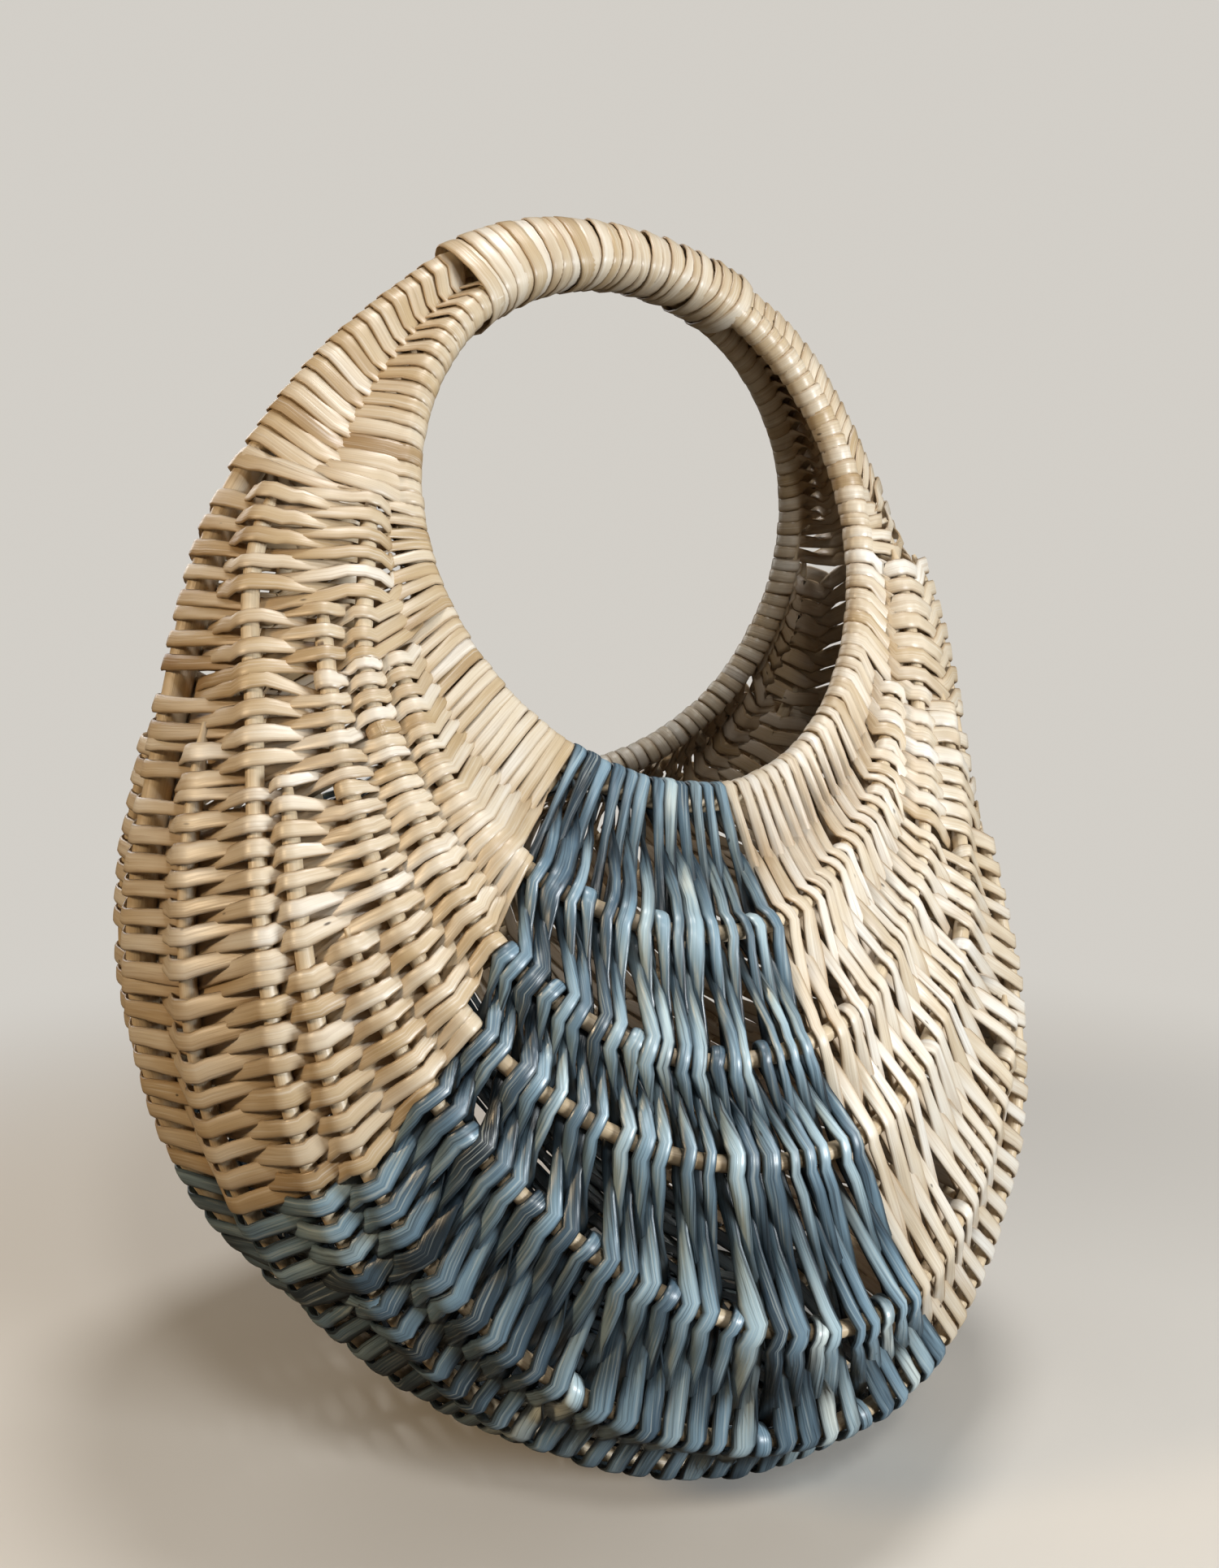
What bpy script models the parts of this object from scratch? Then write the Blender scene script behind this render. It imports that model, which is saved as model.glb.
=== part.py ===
# Skein basket: two rim hoops and a keel hoop bound into a handle at the top, with seven
# pointed ribs on each side and a wall of flat willow skeins woven over and under them.
#
# Frame: metres, +Z up, +Y to the back, +X to the right seen from the front. A turn is an
# angle round the opening from its top, going down the left side first. A share runs across
# the wall, from 0 at the front rim to 1 at the keel and 2 at the back rim.

import math

import bmesh
import bpy
import numpy as np

# Form of the basket
OPENING_RADIUS = 0.1105
OPENING_HEIGHT = 0.375
KEEL_RISE = 0.010
KEEL_LOW_RADIUS = 0.380
RIM_TOP_HALF_GAP = 0.009
RIM_LOW_HALF_GAP = 0.065
BELLY_BULGE = 0.112
SIDE_SWAY = 0.050
LEAN_ANGLE = 8.5
BASE_EASE = 0.001
BASE_SETTLE = 0.0002
SQUARENESS_SHARES = (0.96, 1.215)

# How far the keel stands out and the wall bulges, at turns from the top to the bottom
KEEL_TURNS = (0, 35, 65, 95, 120, 150, 180)
KEEL_SHARES = (0, 0.025, 0.062, 0.178, 0.355, 0.825, 1)
BULGE_TURNS = (0, 40, 80, 120, 150, 180)
BULGE_SHARES = (0.03, 0.02, 0.045, 0.22, 0.62, 1)

# Rods
RIM_ROD_RADIUS = 0.005
KEEL_ROD_RADIUS = 0.0055
RIB_RADIUS = 0.003
RIB_TIP_RADIUS = 0.0006

# Where each rib runs between the rim (0) and the keel (1), and the rows it starts and ends at
RIB_TURNS = (92, 105, 121, 135, 150, 165, 180, 200, 225, 250, 274)
RIB_SHARES = (
    (0.27, 0.27, 0.275, 0.292, 0.27, 0.24, 0.195, 0.15, 0.15, 0.16, 0.16),
    (0.22, 0.27, 0.355, 0.36, 0.37, 0.36, 0.31, 0.26, 0.26, 0.28, 0.27),
    (0.40, 0.41, 0.43, 0.425, 0.43, 0.43, 0.40, 0.36, 0.37, 0.41, 0.41),
    (0.49, 0.49, 0.485, 0.485, 0.495, 0.515, 0.52, 0.49, 0.485, 0.49, 0.49),
    (0.54, 0.54, 0.54, 0.55, 0.61, 0.665, 0.66, 0.63, 0.60, 0.57, 0.57),
    (0.65, 0.67, 0.625, 0.62, 0.695, 0.79, 0.79, 0.76, 0.73, 0.69, 0.66),
    (0.78, 0.78, 0.79, 0.80, 0.84, 0.88, 0.89, 0.88, 0.85, 0.81, 0.80),
)
RIB_FIRST_ROWS = (8, 0, 5, 14, 10, 0, 8)
RIB_LAST_ROWS = (50, 60, 52, 41, 47, 60, 49)

# Skeins, in rows counted from the left ear
SKEIN_THICKNESS = 0.0012
SKEIN_WIDTH = 0.014
CLEARANCE = 0.00035
KEEL_SEAT = 0.004
RIM_LEAVE_SHARE = 0.25
EAR_TURNING_ROWS = 6
STEEP_ANGLE = 38
SLOPE_ROUNDS = 8
FIRST_ROW_TURN = 96
ROW_TURN = 3
EAR_ROWS = 12
ROW_FILL_SHARE = 0.8
WRAP_FILL_SHARE = 1.6
WRAP_ADVANCE_SHARE = 0.25
WRAP_STEP_ANGLE = 45
END_ADVANCE_SHARE = 0.3
END_ANGLE = 60
NATURAL_LEFT_RUNS = (6, 6, 6)
BLUE_RUNS = (4, 6, 4)
NATURAL_RIGHT_RUNS = (6, 6, 6, 6, 4)
WALL_ROWS = sum(NATURAL_LEFT_RUNS) + sum(BLUE_RUNS) + sum(NATURAL_RIGHT_RUNS)
HANDLE_LOOPS = 23
HANDLE_SIDES = 8
HANDLE_FILL_SHARE = 0.86

# The gaps that are printed are between lengths of a skein at least this far apart along it.
GAP_APART = 0.03
GAP_SAMPLES = 5
MM = 1000

ROWS_PER_STATION = 3
FRONT_RIM_SHARE, KEEL_HOOP_SHARE, BACK_RIM_SHARE = 0.0, 1.0, 2.0

# A skein's corners over a rim stand out a little, so that the flats between them clear it.
WRAP_CENTRE_REACH = RIM_ROD_RADIUS + CLEARANCE + SKEIN_THICKNESS / 2
WRAP_REACH = WRAP_CENTRE_REACH / math.cos(math.radians(WRAP_STEP_ANGLE / 2))


def signed_power(value, exponent):
    return np.sign(value) * np.abs(value) ** exponent


def through(x, stations, values):
    """A smooth curve through values at stations, each slope taken from its neighbours."""
    stations = np.asarray(stations, float)
    values = np.asarray(values, float)
    slopes = np.gradient(values, stations)
    i = np.clip(np.searchsorted(stations, x, side="right") - 1, 0, len(stations) - 2)
    step = stations[i + 1] - stations[i]
    u = np.clip((x - stations[i]) / step, 0, 1)
    low, high = values[i], values[i + 1]
    start, end = step * slopes[i], step * slopes[i + 1]
    easing = u * u * (3 - 2 * u)
    return low + (high - low) * easing + u * (1 - u) ** 2 * start + u * u * (u - 1) * end


def through_both_sides(turn, stations, values):
    """The same curve for turns on the left and on the right, level at the top and bottom."""
    side = 180 - np.abs(180 - np.mod(turn, 360))
    mirrored = (-stations[1], *stations, 360 - stations[-2])
    return through(side, mirrored, (values[1], *values, values[-2]))


def leaned(x, up):
    """A point beside and above the opening's centre, turned by the way the basket leans."""
    angle = math.radians(LEAN_ANGLE)
    return x * math.cos(angle) + up * math.sin(angle), up * math.cos(angle) - x * math.sin(angle)


def form(turn, share):
    """Points on the wall, through the centres of the ribs."""
    turn, share = np.broadcast_arrays(np.asarray(turn, float), np.asarray(share, float))
    low = (1 - np.cos(np.radians(turn))) / 2
    gap = RIM_TOP_HALF_GAP + (RIM_LOW_HALF_GAP - RIM_TOP_HALF_GAP) * low * (1 + low) / 2
    depth = gap + BELLY_BULGE * through_both_sides(turn, BULGE_TURNS, BULGE_SHARES)
    keel_top = OPENING_RADIUS + KEEL_RISE
    spread = through_both_sides(turn, KEEL_TURNS, KEEL_SHARES)
    keel = keel_top + (KEEL_LOW_RADIUS - keel_top) * spread
    # Across the wall the section is part of an ellipse that starts at the rim. It is squarer
    # than a true ellipse where the squareness is over 1.
    top_squareness, low_squareness = SQUARENESS_SHARES
    power = 1 / (top_squareness + (low_squareness - top_squareness) * low)
    start = math.pi - np.arcsin((gap / depth) ** (1 / power))
    lean = signed_power(np.cos(start), power)
    middle = (OPENING_RADIUS - lean * keel) / (1 - lean)
    sweep = start * (1 - share)
    radius = middle + (keel - middle) * signed_power(np.cos(sweep), power)
    x = -radius * np.sin(np.radians(turn))
    y = -depth * signed_power(np.sin(sweep), power)
    up = radius * np.cos(np.radians(turn))
    x, up = leaned(x + SIDE_SWAY * (np.minimum(up, 0) / KEEL_LOW_RADIUS) ** 2, up)
    # The bottom is pressed flat, so that the skeins under every rib lie on one plane.
    floor = RIB_RADIUS + CLEARANCE + SKEIN_THICKNESS - BASE_SETTLE
    z = floor + BASE_EASE * np.logaddexp(0, (OPENING_HEIGHT + up - floor) / BASE_EASE)
    return np.stack([x, y, z], axis=-1)


def unit(vectors):
    return vectors / np.linalg.norm(vectors, axis=-1, keepdims=True)


def along_rods(turn, share, step=1e-2):
    """Metres along the rods for each degree of turn."""
    return (form(np.add(turn, step), share) - form(np.subtract(turn, step), share)) / (2 * step)


def outward(turn, share, step=1e-4):
    along_row = form(turn, np.add(share, step)) - form(turn, np.subtract(share, step))
    return unit(np.cross(along_row, along_rods(turn, share)))


class Rod:
    """A rod as a chain of straight lengths, whose corners lie in the gaps between rows."""

    def __init__(self, name, radius, share_at, first_row, last_row, hoop=False):
        self.name = name
        self.radius = radius
        self.hoop = hoop
        self.first_row = first_row
        self.last_row = last_row
        rows = [r for r in range(first_row, last_row + 1) if r % ROWS_PER_STATION == 0]
        if not hoop:
            rows = sorted({first_row, first_row + 1, *rows, last_row - 1, last_row})
        self.turns = FIRST_ROW_TURN + ROW_TURN * np.array(rows, float)
        self.share_at = share_at
        inset = radius - RIB_RADIUS if share_at(0) == KEEL_HOOP_SHARE else 0
        shares = np.array([share_at(turn) for turn in self.turns])
        self.points = form(self.turns, shares)
        self.points = self.points - inset * outward(self.turns, shares)

    def centre(self, turn):
        if self.hoop:
            turn = self.turns[0] + (turn - self.turns[0]) % 360
        return np.array([np.interp(turn, self.turns, self.points[:, i]) for i in range(3)])

    def crosses(self, row):
        return self.hoop or self.first_row <= row < self.last_row

    def sizes(self):
        """The radius at each corner, with a point whittled on both ends of a rib."""
        radii = np.full(len(self.turns), self.radius)
        if not self.hoop:
            radii[[0, -1]] = RIB_TIP_RADIUS
        return radii


def make_rods():
    whole_turn = 360 // ROW_TURN
    first = -ROWS_PER_STATION * (whole_turn // 3 // ROWS_PER_STATION)
    hoops = (
        ("front_rim_hoop", RIM_ROD_RADIUS, FRONT_RIM_SHARE),
        ("keel_hoop", KEEL_ROD_RADIUS, KEEL_HOOP_SHARE),
        ("back_rim_hoop", RIM_ROD_RADIUS, BACK_RIM_SHARE),
    )
    rods = []
    for name, radius, share in hoops:
        rods.append(Rod(name, radius, lambda turn, s=share: s, first, first + whole_turn, True))
    for number, shares in enumerate(RIB_SHARES):
        rows = RIB_FIRST_ROWS[number], RIB_LAST_ROWS[number]

        def on_front(turn, values=shares):
            return float(through(turn, RIB_TURNS, values))

        def on_back(turn, values=shares):
            return BACK_RIM_SHARE - float(through(turn, RIB_TURNS, values))

        rods.append(Rod(f"front_rib_{number + 1}", RIB_RADIUS, on_front, *rows))
        rods.append(Rod(f"back_rib_{number + 1}", RIB_RADIUS, on_back, *rows))
    return rods


def half_width(turn, share, fill_share):
    """Half a skein's width, as a turn: a share of the row, up to the widest skein."""
    pace = np.linalg.norm(along_rods(turn, share))
    return min(fill_share * ROW_TURN / 2, SKEIN_WIDTH / 2 / pace)


def strip_edges(rod, turn, half, offset):
    """The two edges of a skein at an offset from a rod. None lies below the base plane."""
    edges = np.array([rod.centre(turn - half), rod.centre(turn + half)]) + offset
    edges[:, 2] = np.maximum(edges[:, 2], SKEIN_THICKNESS / 2)
    return edges


class Row:
    """One row of the weave, from the front rim over and under the rods to the back rim."""

    def __init__(self, row, rods):
        self.turn = turn = FIRST_ROW_TURN + ROW_TURN * (row + 0.5)
        crossed = [rod for rod in rods if rod.crosses(row)]
        self.crossed = sorted(crossed, key=lambda rod: rod.share_at(turn))
        self.shares = np.array([rod.share_at(turn) for rod in self.crossed])
        self.centres = np.array([rod.centre(turn) for rod in self.crossed])
        last = len(self.crossed) - 1
        self.sides = np.array([1.0 if (i + row) % 2 == 0 else -1.0 for i in range(last + 1)])
        # At a rim the row leaves towards the first rib and, further up the ears, the keel.
        up_the_ear = min(max(-row, row - WALL_ROWS + 1, 0) / EAR_TURNING_ROWS, 1)
        leave = RIM_LEAVE_SHARE + (KEEL_HOOP_SHARE - RIM_LEAVE_SHARE) * up_the_ear
        before = [self.centres[0], *self.centres[:-2], form(turn, BACK_RIM_SHARE - leave)]
        after = [form(turn, leave), *self.centres[2:], self.centres[-1]]
        chords = np.array(after) - np.array(before)
        rod_ways = unit(along_rods(turn, self.shares))
        self.outward = unit(np.cross(chords, rod_ways))
        self.along = np.cross(rod_ways, self.outward)
        self.rod_ways = rod_ways
        reach = np.array([rod.radius for rod in self.crossed]) + CLEARANCE + SKEIN_THICKNESS / 2
        reach[[0, last]] = WRAP_REACH
        self.corners = [[0.0] for _ in self.crossed]
        self.heights = reach.copy()
        for _ in range(SLOPE_ROUNDS):
            self.clear_slopes(reach)

    def corner(self, i, along):
        """A point of the row's middle line, by rod number i."""
        return self.centres[i] + self.sides[i] * self.heights[i] * self.outward[i] + along * self.along[i]

    def clear_slopes(self, reach):
        """Shapes each pass so that the slopes beside it clear the rod: one corner that stands
        off further where they are gentle, or two corners, one on each side, where steep."""
        last = len(self.crossed) - 1
        for i in range(last + 1):
            tilts = [0.0, 0.0]
            for k, other in enumerate((i - 1, i + 1)):
                if other < 0 or other > last:
                    continue
                here = self.corners[i][-k]
                slope = self.corner(other, self.corners[other][k - 1]) - self.corner(i, here)
                fall = -self.sides[i] * np.dot(slope, self.outward[i])
                run = abs(np.dot(slope, self.along[i]))
                tilts[k] = max(0.0, math.atan2(fall, run))
            if self.shares[i] == KEEL_HOOP_SHARE or max(tilts) > math.radians(STEEP_ANGLE):
                self.heights[i] = reach[i]
                least = KEEL_SEAT / 2 if self.shares[i] == KEEL_HOOP_SHARE else 0.0
                before, after = (max(least, reach[i] * math.tan(tilt / 2)) for tilt in tilts)
                self.corners[i] = [-before, after]
            else:
                self.heights[i] = reach[i] / math.cos(max(tilts))
                self.corners[i] = [0.0]

    def edges(self, i, fill_share, k=0):
        """The skein's edges at corner number k of its pass by rod number i."""
        half = half_width(self.turn, self.shares[i], fill_share)
        offset = self.corner(i, self.corners[i][k]) - self.centres[i]
        return strip_edges(self.crossed[i], self.turn, half, offset)

    def pairs(self):
        last = len(self.crossed) - 1
        fills = [WRAP_FILL_SHARE] + [ROW_FILL_SHARE] * (last - 1) + [WRAP_FILL_SHARE]
        path = [self.edges(i, fills[i], k) for i in range(last + 1) for k in range(len(self.corners[i]))]
        # Halfway between a rim and its first rod the skein is as narrow as in the wall.
        near = self.edges(0, ROW_FILL_SHARE, -1) + self.edges(1, ROW_FILL_SHARE, 0)
        far = self.edges(last - 1, ROW_FILL_SHARE, -1) + self.edges(last, ROW_FILL_SHARE, 0)
        path.insert(len(self.corners[0]), near / 2)
        path.insert(len(path) - len(self.corners[last]), far / 2)
        return path

    def over_rim(self, at_front, angle, moved_share):
        """Edges of a skein over a rim: angle 0 outside, 90 on top, 180 inside."""
        i = 0 if at_front else -1
        over = -self.along[i] if at_front else self.along[i]
        angle = math.radians(angle)
        offset = WRAP_REACH * (self.outward[i] * math.cos(angle) + over * math.sin(angle))
        turn = self.turn + ROW_TURN * moved_share
        half = half_width(turn, self.shares[i], WRAP_FILL_SHARE)
        return strip_edges(self.crossed[i], turn, half, offset)


def weave_run(first, count, rods):
    """One unbroken skein through count rows, turning over a rim between rows."""
    rows = [Row(row, rods) for row in range(first, first + count)]
    outer, top, inner = WRAP_STEP_ANGLE, 2 * WRAP_STEP_ANGLE, 3 * WRAP_STEP_ANGLE
    path = [rows[0].over_rim(True, END_ANGLE, -END_ADVANCE_SHARE)]
    for i, row in enumerate(rows):
        outside = i % 2 == 0
        path += row.pairs() if outside else row.pairs()[::-1]
        if i + 1 == count:
            break
        at_front = not outside
        near, far = (outer, inner) if outside else (inner, outer)
        halfway = row.over_rim(at_front, top, 1 / 2) + rows[i + 1].over_rim(at_front, top, -1 / 2)
        path.append(row.over_rim(at_front, near, WRAP_ADVANCE_SHARE))
        path.append(halfway / 2)
        path.append(rows[i + 1].over_rim(at_front, far, -WRAP_ADVANCE_SHARE))
    path.append(rows[-1].over_rim(True, 180 - END_ANGLE, END_ADVANCE_SHARE))
    return np.array(path)


def bundle_corner(hoops, turn, side):
    """A corner of the outline round the three hoops, whose sides all clear the rods."""
    x, up = leaned(-math.sin(math.radians(turn)), math.cos(math.radians(turn)))
    radial = np.array([x, 0, up])
    across = np.array([0.0, 1.0, 0.0])
    centre = np.array([0, 0, OPENING_HEIGHT])
    facing, reaches = [], []
    for k in (side, side + 1):
        angle = 2 * math.pi * k / HANDLE_SIDES
        facing.append([math.cos(angle), math.sin(angle)])
        normal = radial * facing[-1][0] + across * facing[-1][1]
        reach = max(np.dot(hoop.centre(turn) - centre, normal) + hoop.radius for hoop in hoops)
        reaches.append(reach + CLEARANCE + SKEIN_THICKNESS / 2)
    corner = np.linalg.solve(np.array(facing), np.array(reaches))
    return centre + radial * corner[0] + across * corner[1]


def handle_pairs(hoops):
    """The skein that binds the hoops into the handle, from the left ear to the right ear."""
    start = FIRST_ROW_TURN - ROW_TURN * (EAR_ROWS + 1)
    end = FIRST_ROW_TURN + ROW_TURN * (WALL_ROWS + EAR_ROWS + 1) - 360
    pitch = (start - end) / (HANDLE_LOOPS + 1)
    half = HANDLE_FILL_SHARE * pitch / 2
    pairs = []
    for step in range(HANDLE_LOOPS * HANDLE_SIDES + 1):
        turn = start - pitch * (0.5 + step / HANDLE_SIDES)
        edges = [bundle_corner(hoops, edge, step) for edge in (turn + half, turn - half)]
        pairs.append(edges)
    return np.array(pairs)


def least_self_gap(pairs):
    """The least distance between the edges of two lengths of a skein that aren't next to
    each other along it, measured on points along both edges."""
    shares = np.linspace(0, 1, GAP_SAMPLES, endpoint=False)[:, None, None]
    lengths = [start * (1 - shares) + end * shares for start, end in zip(pairs[:-1], pairs[1:])]
    points = np.concatenate(lengths)
    middles = points.mean(axis=1)
    along = np.append(0, np.cumsum(np.linalg.norm(np.diff(middles, axis=0), axis=1)))
    far = np.abs(along[:, None] - along[None]) > GAP_APART
    least = math.inf
    for side in (0, 1):
        for other in (0, 1):
            gaps = np.linalg.norm(points[:, None, side] - points[None, :, other], axis=-1)
            least = min(least, gaps[far].min())
    return least


def principled(name, colour, roughness):
    material = bpy.data.materials.new(name)
    material.use_nodes = True
    shader = material.node_tree.nodes["Principled BSDF"]
    shader.inputs["Base Color"].default_value = (*colour, 1)
    shader.inputs["Roughness"].default_value = roughness
    shader.inputs["Metallic"].default_value = 0
    return material


def rod_object(rod, material):
    curve = bpy.data.curves.new(rod.name, "CURVE")
    curve.dimensions = "3D"
    curve.bevel_depth = rod.radius
    curve.bevel_resolution = 2 if rod.hoop else 1
    curve.use_fill_caps = not rod.hoop
    points = rod.points[:-1] if rod.hoop else rod.points
    spline = curve.splines.new("POLY")
    spline.points.add(len(points) - 1)
    spline.use_cyclic_u = rod.hoop
    for target, point, size in zip(spline.points, points, rod.sizes()):
        target.co = (*point, 1)
        target.radius = size / rod.radius
    curve.materials.append(material)
    return bpy.data.objects.new(rod.name, curve)


def strip_object(name, pairs, material):
    """A flat skein: an open strip through pairs of edge points, thickened on both faces."""
    mesh = bpy.data.meshes.new(name)
    shape = bmesh.new()
    edges = [[shape.verts.new(point) for point in pair] for pair in pairs]
    for (a, b), (c, d) in zip(edges[:-1], edges[1:]):
        shape.faces.new((a, c, d, b))
    shape.to_mesh(mesh)
    shape.free()
    mesh.materials.append(material)
    strip = bpy.data.objects.new(name, mesh)
    solid = strip.modifiers.new("Skein thickness", "SOLIDIFY")
    solid.thickness = SKEIN_THICKNESS
    solid.offset = 0
    return strip


def runs_of(name, first, counts):
    for number, count in enumerate(counts):
        yield f"{name}_{number + 1}", first, count
        first += count


def main():
    for old in list(bpy.data.objects):
        bpy.data.objects.remove(old)
    basket = bpy.data.collections.new("skein_basket")
    bpy.context.scene.collection.children.link(basket)
    rod_wood = principled("peeled_rod", (0.66, 0.53, 0.36), 0.5)
    natural = principled("natural_skein", (0.64, 0.5, 0.32), 0.42)
    blue = principled("blue_skein", (0.085, 0.14, 0.2), 0.4)

    rods = make_rods()
    objects = [rod_object(rod, rod_wood) for rod in rods]
    hoops = rods[:3]

    left = sum(NATURAL_LEFT_RUNS)
    right = left + sum(BLUE_RUNS)
    runs = [("left_ear_lashing", -EAR_ROWS, EAR_ROWS, natural)]
    runs += [(*run, natural) for run in runs_of("natural_weave_left", 0, NATURAL_LEFT_RUNS)]
    runs += [(*run, blue) for run in runs_of("blue_weave", left, BLUE_RUNS)]
    runs += [(*run, natural) for run in runs_of("natural_weave_right", right, NATURAL_RIGHT_RUNS)]
    runs.append(("right_ear_lashing", WALL_ROWS, EAR_ROWS, natural))
    extents = []
    for name, first, count, material in runs:
        pairs = weave_run(first, count, rods)
        extents.append(pairs.reshape(-1, 3))
        print(f"{name}: least gap to itself {least_self_gap(pairs) * MM:.2f} mm")
        objects.append(strip_object(name, pairs, material))

    lapping = handle_pairs(hoops)
    objects.append(strip_object("handle_lapping", lapping, natural))
    print(f"handle_lapping: least gap to itself {least_self_gap(lapping) * MM:.2f} mm")

    # The origin is on the base plane, under the middle of the basket seen from above.
    points = np.concatenate(extents)
    middle = (points.min(axis=0) + points.max(axis=0)) / 2
    carrier = bpy.data.objects.new("basket_frame", None)
    carrier.location = (-middle[0], -middle[1], 0)
    basket.objects.link(carrier)
    for part in objects:
        part.parent = carrier
        basket.objects.link(part)
    print("size", np.ptp(points, axis=0), "shift", carrier.location[:])


main()
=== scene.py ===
# %% [markdown]
# A skein basket, woven in the computer
#
# The real basket is three hoops bound into a handle, fourteen pointed ribs, and a wall of split
# willow skeins that go over and under them. This lesson dresses its plain CAD model. Every line
# of the weave is worked out with sums on the basket's own form, and Geometry Nodes sweep a
# skein's flat section along those lines. The physics model stays as it is underneath.

import math

import bmesh
import bpy
import numpy as np
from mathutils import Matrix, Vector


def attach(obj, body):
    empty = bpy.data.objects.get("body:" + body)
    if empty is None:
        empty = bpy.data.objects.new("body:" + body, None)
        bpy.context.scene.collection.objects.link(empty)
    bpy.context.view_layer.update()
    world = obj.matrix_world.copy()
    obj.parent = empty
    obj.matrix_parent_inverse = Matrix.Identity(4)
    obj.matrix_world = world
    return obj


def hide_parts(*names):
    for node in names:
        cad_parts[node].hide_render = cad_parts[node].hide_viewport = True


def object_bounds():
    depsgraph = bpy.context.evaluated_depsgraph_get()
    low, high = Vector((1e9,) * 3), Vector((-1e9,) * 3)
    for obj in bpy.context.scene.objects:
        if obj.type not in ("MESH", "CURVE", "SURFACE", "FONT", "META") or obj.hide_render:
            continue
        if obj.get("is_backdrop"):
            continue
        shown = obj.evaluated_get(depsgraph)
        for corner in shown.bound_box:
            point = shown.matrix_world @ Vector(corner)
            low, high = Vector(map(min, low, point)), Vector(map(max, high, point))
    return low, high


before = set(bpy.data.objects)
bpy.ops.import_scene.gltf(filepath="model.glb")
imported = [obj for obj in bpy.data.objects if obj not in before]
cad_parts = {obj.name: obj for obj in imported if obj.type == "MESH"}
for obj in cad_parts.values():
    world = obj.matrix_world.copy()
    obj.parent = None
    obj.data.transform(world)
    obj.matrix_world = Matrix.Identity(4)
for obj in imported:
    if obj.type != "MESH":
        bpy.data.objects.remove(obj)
cad_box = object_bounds()
chance = np.random.default_rng(41)
print("CAD nodes:", len(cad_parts), "box:", [tuple(round(c, 4) for c in p) for p in cad_box])

# %% [markdown]
# The form of the basket
#
# All pieces lie on one curved wall, so one function gives it: a turn says where round the
# opening, in degrees from the top and down the left side, and a share says how far across the
# wall, from the front rim at 0 over the keel at 1 to the back rim at 2. It could be modelled by
# hand as a surface, but a formula puts ribs, rows and wraps on the same wall exactly. Its sizes
# repeat those of the CAD source, because this script can't read that file.

# %% The wall as a formula
OPENING_RADIUS = 0.1105
OPENING_HEIGHT = 0.375
KEEL_RISE = 0.010
KEEL_LOW_RADIUS = 0.380
RIM_TOP_HALF_GAP = 0.009
RIM_LOW_HALF_GAP = 0.065
BELLY_BULGE = 0.112
SIDE_SWAY = 0.050
LEAN_ANGLE = 8.5
BASE_EASE = 0.001
BASE_LIFT = 0.00435
FRAME_SHIFT = 0.015654
SQUARENESS_SHARES = (0.96, 1.215)
KEEL_TURNS = (0, 35, 65, 95, 120, 150, 180)
KEEL_SHARES = (0, 0.025, 0.062, 0.178, 0.355, 0.825, 1)
BULGE_TURNS = (0, 40, 80, 120, 150, 180)
BULGE_SHARES = (0.03, 0.02, 0.045, 0.22, 0.62, 1)


def signed_power(value, exponent):
    return np.sign(value) * np.abs(value) ** exponent


def through(x, stations, values):
    """A smooth curve through values at stations, each slope taken from its neighbours."""
    stations = np.asarray(stations, float)
    values = np.asarray(values, float)
    slopes = np.gradient(values, stations)
    i = np.clip(np.searchsorted(stations, x, side="right") - 1, 0, len(stations) - 2)
    step = stations[i + 1] - stations[i]
    u = np.clip((x - stations[i]) / step, 0, 1)
    low, high = values[i], values[i + 1]
    start, end = step * slopes[i], step * slopes[i + 1]
    easing = u * u * (3 - 2 * u)
    return low + (high - low) * easing + u * (1 - u) ** 2 * start + u * u * (u - 1) * end


def through_both_sides(turn, stations, values):
    """The same curve for turns on the left and on the right, level at the top and bottom."""
    side = 180 - np.abs(180 - np.mod(turn, 360))
    mirrored = (-stations[1], *stations, 360 - stations[-2])
    return through(side, mirrored, (values[1], *values, values[-2]))


def leaned(x, up):
    angle = math.radians(LEAN_ANGLE)
    return x * math.cos(angle) + up * math.sin(angle), up * math.cos(angle) - x * math.sin(angle)


def form(turn, share):
    """Points on the wall, through the middles of the ribs, in the frame of the CAD model."""
    turn, share = np.broadcast_arrays(np.asarray(turn, float), np.asarray(share, float))
    low = (1 - np.cos(np.radians(turn))) / 2
    gap = RIM_TOP_HALF_GAP + (RIM_LOW_HALF_GAP - RIM_TOP_HALF_GAP) * low * (1 + low) / 2
    depth = gap + BELLY_BULGE * through_both_sides(turn, BULGE_TURNS, BULGE_SHARES)
    keel_top = OPENING_RADIUS + KEEL_RISE
    spread = through_both_sides(turn, KEEL_TURNS, KEEL_SHARES)
    keel = keel_top + (KEEL_LOW_RADIUS - keel_top) * spread
    top_squareness, low_squareness = SQUARENESS_SHARES
    power = 1 / (top_squareness + (low_squareness - top_squareness) * low)
    start = math.pi - np.arcsin((gap / depth) ** (1 / power))
    lean = signed_power(np.cos(start), power)
    middle = (OPENING_RADIUS - lean * keel) / (1 - lean)
    sweep = start * (1 - share)
    radius = middle + (keel - middle) * signed_power(np.cos(sweep), power)
    x = -radius * np.sin(np.radians(turn))
    y = -depth * signed_power(np.sin(sweep), power)
    up = radius * np.cos(np.radians(turn))
    x, up = leaned(x + SIDE_SWAY * (np.minimum(up, 0) / KEEL_LOW_RADIUS) ** 2, up)
    z = BASE_LIFT + BASE_EASE * np.logaddexp(0, (OPENING_HEIGHT + up - BASE_LIFT) / BASE_EASE)
    return np.stack([x + FRAME_SHIFT, y, z], axis=-1)


def unit(vectors):
    return vectors / np.maximum(np.linalg.norm(vectors, axis=-1, keepdims=True), 1e-9)


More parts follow.
